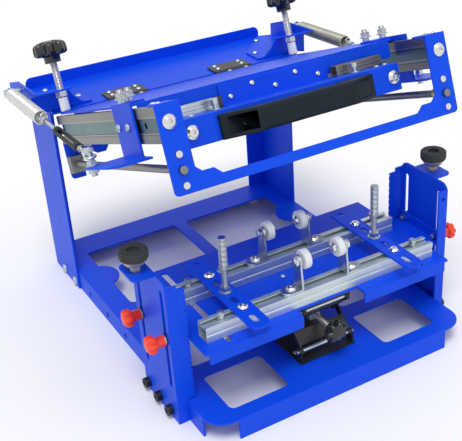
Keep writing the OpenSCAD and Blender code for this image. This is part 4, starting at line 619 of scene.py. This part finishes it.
dress("guide_rods", steel, edge=0.5)
dress("bushings", chromate, edge=0.3)
dress("frame_screws", chrome, chromate, edge=0.25, rule=frame_screw_finish)

# %% [markdown]
# At the rear the guide rods run through white nylon blocks, each with a yellow cap and a
# steel stop outside it.

# %% Stops at the rear of the carriage
STOPS_FROM, CAPS_FROM = 179 * MM, 29.9 * MM


def rod_block_finish(place, normal):
    across, forward, up = on_head(place)
    if abs(across) > STOPS_FROM:
        return 0
    return 2 if forward > CAPS_FROM else 1


dress("rod_blocks", steel, nylon, yellow, edge=0.5, rule=rod_block_finish)

# %% [markdown]
# The table's posts and rail bolts show their threads above the nuts. A thin rubber washer
# sits on each clamp stud, between the column and its red knob.

# %% Fasteners of the table
WASHER_FROM, WASHER_TO = 226 * MM, 227.6 * MM
POSTS_WITHIN, POSTS_ABOVE = 140 * MM, 175 * MM
BOLTS_BEYOND, BOLTS_ABOVE = 150 * MM, 158.3 * MM


def table_fastener_finish(place, normal):
    across = abs(place.x)
    if WASHER_FROM < across < WASHER_TO:
        return 2
    post = across < POSTS_WITHIN and place.z > POSTS_ABOVE
    bolt = across > BOLTS_BEYOND and place.z > BOLTS_ABOVE
    return int(abs(normal.z) < SIDEWAYS and (post or bolt))


dress("table_fasteners", zinc, thread_up, rubber, edge=0.25, rule=table_fastener_finish)
dress("table_screws", chrome, edge=0.25)

# %% [markdown]
# The two rails are drawn zinc, with fine lines along their length, which lies across the
# machine. The four rollers are white nylon on zinc brackets.

# %% Rails and rollers
CORNERS = ("front_left", "front_right", "rear_left", "rear_right")
dress("rails", rail_zinc, edge=0.5)
dress("roller_brackets", zinc, edge=0.35)
for corner in CORNERS:
    dress(corner + "_roller", nylon, edge=0.5)

# %% [markdown]
# The scissor jack is black enamelled sheet with bright blocks, and its spindle carries the
# thread along the machine's depth.

# %% The jack
for node in ("jack_base", "jack_head", "jack_front_lower", "jack_rear_lower", "jack_front_upper",
             "jack_rear_upper"):
    dress(node, black_sheet, edge=0.3)
dress("jack_front_block", zinc, edge=0.3)
dress("jack_rear_block", zinc, edge=0.3)
dress("jack_spindle", thread_deep, edge=0.3)
dress("left_spring_bush", zinc, edge=0.4)
dress("right_spring_bush", zinc, edge=0.4)

# %% [markdown]
# The handle is one long moulding with soft corners, so its bevel is wider. Its right pocket
# has a snap-in cover that lies flush with the sloping end. The left one is open.

# %% Handle
dress("handle", slate, edge=0.9, segments=3)


def from_head(across, forward, up):
    """The place this far across, forward of and up from the head's tilt axis, in mm."""
    return tilt_axis + MM * (Vector((across, 0, 0)) + forward * HEAD_FORWARD + up * HEAD_UP)


PLATE_FRONT = 343
COVER_ENDS = ((74.3, PLATE_FRONT + 26.2), (105.7, PLATE_FRONT + 10.5))
COVER_BACK, COVER_LOW, COVER_HIGH = 2.2, -60.7, -40.3
cover_shape = bmesh.new()
corners = [cover_shape.verts.new(from_head(across, forward - back, up))
           for up in (COVER_LOW, COVER_HIGH) for back in (0, COVER_BACK)
           for across, forward in COVER_ENDS]
bmesh.ops.convex_hull(cover_shape, input=corners)
bmesh.ops.recalc_face_normals(cover_shape, faces=cover_shape.faces)
cover = ride_with(finished("handle_cover", cover_shape, [slate]), "handle")
print("handle_cover", len(cover.data.polygons), "faces")

# %% [markdown]
# The head comes down on two rubber pads, which sit in yellow zinc cups on the columns.

# %% Bumpers
dress("bumper_cups", tan_zinc, edge=0.4)
dress("bumper_pads", rubber, edge=0.5)

# %% [markdown]
# A turnbuckle has a dark body of two bars between threaded shanks. Where a face lies along
# the pull tells which of the two it belongs to.

# %% Turnbuckles
EYE_REACH = 323.78 * MM
BODY_FROM, BODY_TO = 36.9 * MM, 118.1 * MM
SHANK_FROM, SHANK_RADIUS = 9 * MM, 2.8 * MM


def turnbuckle_rule(side):
    pivot = Vector(joints[side + "_pull_turn"]["pos_m"])

    def rule(place, normal):
        away = place - pivot
        along = away.dot(PULL)
        from_eye = EYE_REACH - along
        if BODY_FROM < from_eye < BODY_TO:
            return 1
        thin = (away - along * PULL).length < SHANK_RADIUS
        return 2 if from_eye > SHANK_FROM and thin else 0
    return rule


for side in ("left", "right"):
    dress(side + "_turnbuckle", zinc, rubber, thread_pull, edge=0.3, rule=turnbuckle_rule(side))

# %% [markdown]
# The stop screws stand square to the raised head, and each ends in a nylon tip.

# %% Stop screws
TIP_LENGTH = 21.2 * MM
seats = {side: Vector(joints[side + "_stop_turn"]["pos_m"]) for side in ("left", "right")}
for side, seat in seats.items():
    dress(side + "_stop_screw", thread_head, nylon, edge=0.6,
          rule=lambda place, normal: int((place - seat).dot(HEAD_UP) < TIP_LENGTH))

# %% [markdown]
# The knobs are moulded, with broad lobes, a domed top and a neck. Each is turned from a list
# of rings: how far along the head, how wide, and how deep the flutes are there. The neck has
# rings of its own, a few tenths of a millimetre from its foot or below the head. The size and
# the place of every knob are measured from its CAD shape, on the axis that it turns about.

# %% Knobs
RINGS = [(0.0, 0.62, 0.3), (0.02, 0.8, 0.7), (0.1, 0.94, 0.95), (0.22, 1.0, 1.0), (0.5, 1.0, 1.0),
         (0.72, 0.985, 1.0), (0.86, 0.93, 0.95), (0.95, 0.84, 0.85), (1.02, 0.70, 0.55),
         (1.08, 0.5, 0.25), (1.11, 0.25, 0.0)]
FLUTE = 0.3
STEPS_PER_LOBE = 14
CROWN = 1.12
GRIP_WIDE, PLAIN_NECK = 0.8, 0.4
NECK = [(0.0, 0.86), (0.3, 1.0), (-1.2, 1.0), (-0.3, 1.08)]
KNOB_SMOOTH_DEGREES = 60


def outline_of(node, middle, axis):
    """How far along the axis and how wide every corner of the CAD knob is."""
    spots = []
    for vertex in nodes[node].data.vertices:
        away = vertex.co - middle
        along = away.dot(axis)
        spots.append((along, (away - along * axis).length))
    return spots


def grip_of(spots, radius):
    """Where the wide part of a knob is along its axis."""
    return [along for along, wide in spots if wide > GRIP_WIDE * radius]


def knob_profile(spots, radius, low, high):
    """The neck, then the rings of the head: along the axis, how wide, how deep the flutes."""
    foot = min(along for along, wide in spots)
    neck = max([wide for along, wide in spots if along < low - MM] or [PLAIN_NECK * radius])
    below = [((low if z < 0 else foot) + z * MM, neck * wide, 0) for z, wide in NECK]
    return below + [(low + (high - low) * z, radius * wide, deep) for z, wide, deep in RINGS]


def knob_ring(shape, centre, axis, wide, deep, lobes):
    """One ring of corners round the axis, drawn in where the flutes are."""
    across = axis.orthogonal().normalized()
    other = axis.cross(across)
    ring = []
    for step in range(lobes * STEPS_PER_LOBE):
        a = 2 * math.pi * step / (lobes * STEPS_PER_LOBE)
        flute = FLUTE * deep * ((1 - math.cos(a * lobes)) / 2) ** 1.5
        out = math.cos(a) * across + math.sin(a) * other
        ring.append(shape.verts.new(centre + wide * (1 - flute) * out))
    return ring


def knob(node, joint, lobes, finish):
    """A lobed knob in place of the node, on the joint's axis."""
    middle = Vector(joints[joint]["pos_m"])
    axis = Vector(joints[joint]["axis"]).normalized()
    spots = outline_of(node, middle, axis)
    radius = max(wide for along, wide in spots)
    grip = grip_of(spots, radius)
    if max(s[0] for s in spots) - max(grip) > min(grip) - min(s[0] for s in spots):
        axis = -axis
        spots = [(-along, wide) for along, wide in spots]
        grip = grip_of(spots, radius)
    low, high = min(grip), max(grip)
    shape = bmesh.new()
    rings = [knob_ring(shape, middle + axis * z, axis, wide, deep, lobes)
             for z, wide, deep in knob_profile(spots, radius, low, high)]
    shape.faces.new(rings[0])
    top = shape.verts.new(middle + axis * (low + (high - low) * CROWN))
    count = len(rings[0])
    for step in range(count):
        after = (step + 1) % count
        for first, second in zip(rings, rings[1:]):
            shape.faces.new((first[step], first[after], second[after], second[step]))
        shape.faces.new((rings[-1][step], rings[-1][after], top))
    bmesh.ops.recalc_face_normals(shape, faces=shape.faces)
    piece = finished(node + "_piece", shape, [finish])
    shade_smooth(piece, KNOB_SMOOTH_DEGREES)
    print(node, "radius", round(radius / MM, 1), "head", round((high - low) / MM, 1), "mm")
    return take_place(piece, node)


for side in ("left", "right"):
    knob(side + "_stop_knob", side + "_stop_turn", 7, black_gloss)
knob("jack_star", "jack_star_turn", 7, black_gloss)
for corner in ("front_left", "rear_left", "front_right", "rear_right"):
    knob(corner + "_clamp", corner + "_clamp_turn", 6, red)

# %% [markdown]
# A wire bent along a path is the same job for springs and for threads, so one Geometry Nodes
# group does both. It turns the edges of a drawn line into a curve, sweeps a circle along the
# curve and gives the result its finish.

# %% Wire along a path
def wire_group():
    group = bpy.data.node_groups.new("wire along a path", "GeometryNodeTree")
    for label, kind in (("Path", "Geometry"), ("Radius", "Float"), ("Sides", "Int"),
                        ("Finish", "Material")):
        group.interface.new_socket(label, in_out="INPUT", socket_type="NodeSocket" + kind)
    group.interface.new_socket("Wire", in_out="OUTPUT", socket_type="NodeSocketGeometry")
    given = group.nodes.new("NodeGroupInput")
    curve = group.nodes.new("GeometryNodeMeshToCurve")
    circle = group.nodes.new("GeometryNodeCurvePrimitiveCircle")
    sweep = group.nodes.new("GeometryNodeCurveToMesh")
    sweep.inputs["Fill Caps"].default_value = True
    smooth = group.nodes.new("GeometryNodeSetShadeSmooth")
    whole = group.nodes.new("GeometryNodeRealizeInstances")
    painted = group.nodes.new("GeometryNodeSetMaterial")
    result = group.nodes.new("NodeGroupOutput")
    for start, end in ((given.outputs["Path"], curve.inputs["Mesh"]),
                       (given.outputs["Sides"], circle.inputs["Resolution"]),
                       (given.outputs["Radius"], circle.inputs["Radius"]),
                       (curve.outputs["Curve"], sweep.inputs["Curve"]),
                       (circle.outputs["Curve"], sweep.inputs["Profile Curve"]),
                       (sweep.outputs["Mesh"], smooth.inputs["Geometry"]),
                       (smooth.outputs["Geometry"], whole.inputs["Geometry"]),
                       (whole.outputs["Geometry"], painted.inputs["Geometry"]),
                       (given.outputs["Finish"], painted.inputs["Material"]),
                       (painted.outputs["Geometry"], result.inputs["Wire"])):
        group.links.new(start, end)
    return group


WIRE = wire_group()


def wire(name, path, radius, finish, sides=8):
    """An object that follows the path, a list of places."""
    mesh = bpy.data.meshes.new(name)
    links = [(i, i + 1) for i in range(len(path) - 1)]
    mesh.from_pydata([tuple(spot) for spot in path], links, [])
    piece = bpy.data.objects.new(name, mesh)
    scene.collection.objects.link(piece)
    sweep = piece.modifiers.new("wire", "NODES")
    sweep.node_group = WIRE
    values = {"Radius": radius, "Sides": sides, "Finish": finish}
    for item in WIRE.interface.items_tree:
        if item.in_out == "INPUT" and item.name in values:
            sweep[item.identifier] = values[item.name]
    settle(piece)
    shape = bmesh.new()
    shape.from_mesh(piece.data)
    bmesh.ops.recalc_face_normals(shape, faces=shape.faces)
    shape.to_mesh(piece.data)
    shape.free()
    print(name, len(piece.data.polygons), "faces")
    return piece


def round_axis(degrees, across, other):
    """A direction square to the axis, this far round it from across."""
    a = math.radians(degrees)
    return math.cos(a) * across + math.sin(a) * other


def helix(start, axis, radius, length, turns, across, steps):
    """Places round and round the axis, from start on."""
    other = axis.cross(across)
    count = int(turns * steps)
    return [start + axis * length * step / (turns * steps)
            + radius * round_axis(360 * step / steps, across, other)
            for step in range(count + 1)]


# %% [markdown]
# Each pull spring is wound closely from fine wire. At the rear the wire leaves the coil for the
# middle and hooks round the bush on the anchor pin, and in front it runs into the shank of the
# turnbuckle. The real coil stretches as the head comes down, but this one is drawn once, as it
# stands.

# %% Springs
SPRING_LENGTH = 144 * MM
SPRING_WIRE = 1.15 * MM
COIL_RADIUS = 9.3 * MM
CURLS = 46
CURL_STEPS = 22
HOOK_DEGREES = range(75, 305, 10)
LEAD = 6 * MM
LEAD_STEPS = 8
LEAD_DEGREES = 200


def spring(side, finish):
    node = side + "_spring"
    pivot = Vector(joints[side + "_pull_turn"]["pos_m"])
    low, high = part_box(side + "_spring_bush")
    bush = (high.z - low.z) / 2
    other = PULL.cross(ACROSS)
    hook = bush + SPRING_WIRE
    lead_start = bush + 2 * SPRING_WIRE
    first = lead_start + LEAD
    last = bush + SPRING_LENGTH - 2 * SPRING_WIRE - LEAD

    def lead(share, way):
        """A place between the axis and the coil's rim. way is 1 behind and -1 in front."""
        out = COIL_RADIUS * (1 - math.cos(math.pi * share)) / 2
        z = lead_start + LEAD * share
        if way < 0:
            z = 2 * bush + SPRING_LENGTH - z
        turned = -way * LEAD_DEGREES * (1 - share)
        return pivot + PULL * z + out * round_axis(turned, ACROSS, other)

    path = [pivot + hook * round_axis(a, PULL, other) for a in HOOK_DEGREES]
    path += [lead(u / LEAD_STEPS, 1) for u in range(LEAD_STEPS)]
    path += helix(pivot + PULL * first, PULL, COIL_RADIUS, last - first, CURLS, ACROSS, CURL_STEPS)
    path += [lead(u / LEAD_STEPS, -1) for u in range(LEAD_STEPS - 1, -1, -1)]
    path.append(pivot + PULL * (bush + SPRING_LENGTH))
    piece = wire(node + "_piece", path, SPRING_WIRE, finish)
    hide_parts(node)
    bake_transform(piece)


spring("left", chrome)
spring("right", olive_steel)

# %% [markdown]
# The stop screws and the upper halves of the holder posts are close to the eye, so their
# threads are real ridges, half sunk into the rod.

# %% Threads as ridges
RIDGE = 0.42 * MM
SUNK = 0.1 * MM
PITCH = 1.5 * MM
THREAD_STEPS, THREAD_SIDES = 20, 6


def thread(name, node, start, axis, radius, length, finish):
    path = helix(start, axis, radius - SUNK, length, length / PITCH,
                 axis.orthogonal().normalized(), THREAD_STEPS)
    return ride_with(wire(name, path, RIDGE, finish, THREAD_SIDES), node)


STOP_RADIUS, STOP_THREAD_FROM, STOP_THREAD = 5 * MM, 31 * MM, 40 * MM
for side, seat in seats.items():
    thread(side + "_stop_thread", side + "_stop_screw", seat + HEAD_UP * STOP_THREAD_FROM,
           HEAD_UP, STOP_RADIUS, STOP_THREAD, chrome)
POST_X, POST_Y, POST_TOP = 123 * MM, -177 * MM, 236 * MM
SLEEVE_RADIUS, SLEEVE = 5.5 * MM, 43 * MM
for side, x in (("left", -POST_X), ("right", POST_X)):
    thread(side + "_post_thread", "table_fasteners", Vector((x, POST_Y, POST_TOP - SLEEVE)),
           Vector((0, 0, 1)), SLEEVE_RADIUS, SLEEVE - 1 * MM, zinc)

# %% [markdown]
# A light web closes each rail's groove a little below its lips, where the nuts slide.

# %% Rail webs
WEB_DEPTH, WEB_SIZE = 4.6 * MM, (368 * MM, 19 * MM, 0.8 * MM)
RAIL_MIDDLE = 12 * MM
rail_low, rail_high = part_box("rails")
web_shape = bmesh.new()
for y in (rail_low.y + RAIL_MIDDLE, rail_high.y - RAIL_MIDDLE):
    spot = Matrix.Translation((0, y, rail_high.z - WEB_DEPTH))
    bmesh.ops.create_cube(web_shape, size=1, matrix=spot @ Matrix.Diagonal((*WEB_SIZE, 1)))
ride_with(finished("rail_webs", web_shape, [rail_zinc]), "rails")
print("webs", round((rail_high.z - WEB_DEPTH) / MM, 1), "mm above the ground")

# %% [markdown]
# The room is a pale floor, a white background and soft lamps. Camera and mirror rays see
# plain white, and the light on the object stays at a level at which a colour renders
# about as it is written.

# %% Floor
FLOOR_HALF = 6.0
UNDER = 0.2 * MM
floor_shape = bmesh.new()
bmesh.ops.create_grid(floor_shape, x_segments=1, y_segments=1, size=FLOOR_HALF)
paper = Finish("floor paper")
paper.wear(Base_Color=(0.97, 0.97, 0.97), Roughness=0.9, Specular_IOR_Level=0.1)
floor = finished("floor", floor_shape, [paper.material])
floor.location.z = cad_low.z - UNDER

# %% Lamps and background
BACKGROUND = 1.0
AMBIENT = 0.66
world = bpy.data.worlds.new("studio")
world.use_nodes = True
scene.world = world
tree = world.node_tree
tree.nodes.clear()
rays = tree.nodes.new("ShaderNodeLightPath")
seen = rays.outputs["Is Camera Ray"]
for kind in ("Is Glossy Ray", "Is Transmission Ray"):
    either = tree.nodes.new("ShaderNodeMath")
    either.operation = "MAXIMUM"
    tree.links.new(seen, either.inputs[0])
    tree.links.new(rays.outputs[kind], either.inputs[1])
    seen = either.outputs[0]
level = tree.nodes.new("ShaderNodeMix")
level.data_type = "FLOAT"
level.inputs[2].default_value = AMBIENT
level.inputs[3].default_value = BACKGROUND
tree.links.new(seen, level.inputs[0])
glow = tree.nodes.new("ShaderNodeBackground")
glow.inputs["Color"].default_value = (1, 1, 1, 1)
tree.links.new(level.outputs[0], glow.inputs["Strength"])
out = tree.nodes.new("ShaderNodeOutputWorld")
tree.links.new(glow.outputs[0], out.inputs["Surface"])


def sun(name, strength, elevation, azimuth, softness):
    """A lamp far away. Azimuth 0 shines along +Y, and 90 along +X."""
    data = bpy.data.lights.new(name, "SUN")
    data.energy = strength
    data.angle = math.radians(softness)
    lamp = bpy.data.objects.new(name, data)
    e, a = math.radians(elevation), math.radians(azimuth)
    shine = Vector((math.sin(a) * math.cos(e), math.cos(a) * math.cos(e), -math.sin(e)))
    lamp.rotation_mode = "QUATERNION"
    lamp.rotation_quaternion = shine.to_track_quat("-Z", "Y")
    scene.collection.objects.link(lamp)


print("background", BACKGROUND, "light on the machine", AMBIENT)
sun("key", 1.35, 66, 36, 24)
sun("fill", 0.12, 40, -35, 40)

# %% Last update
bpy.context.view_layer.update()
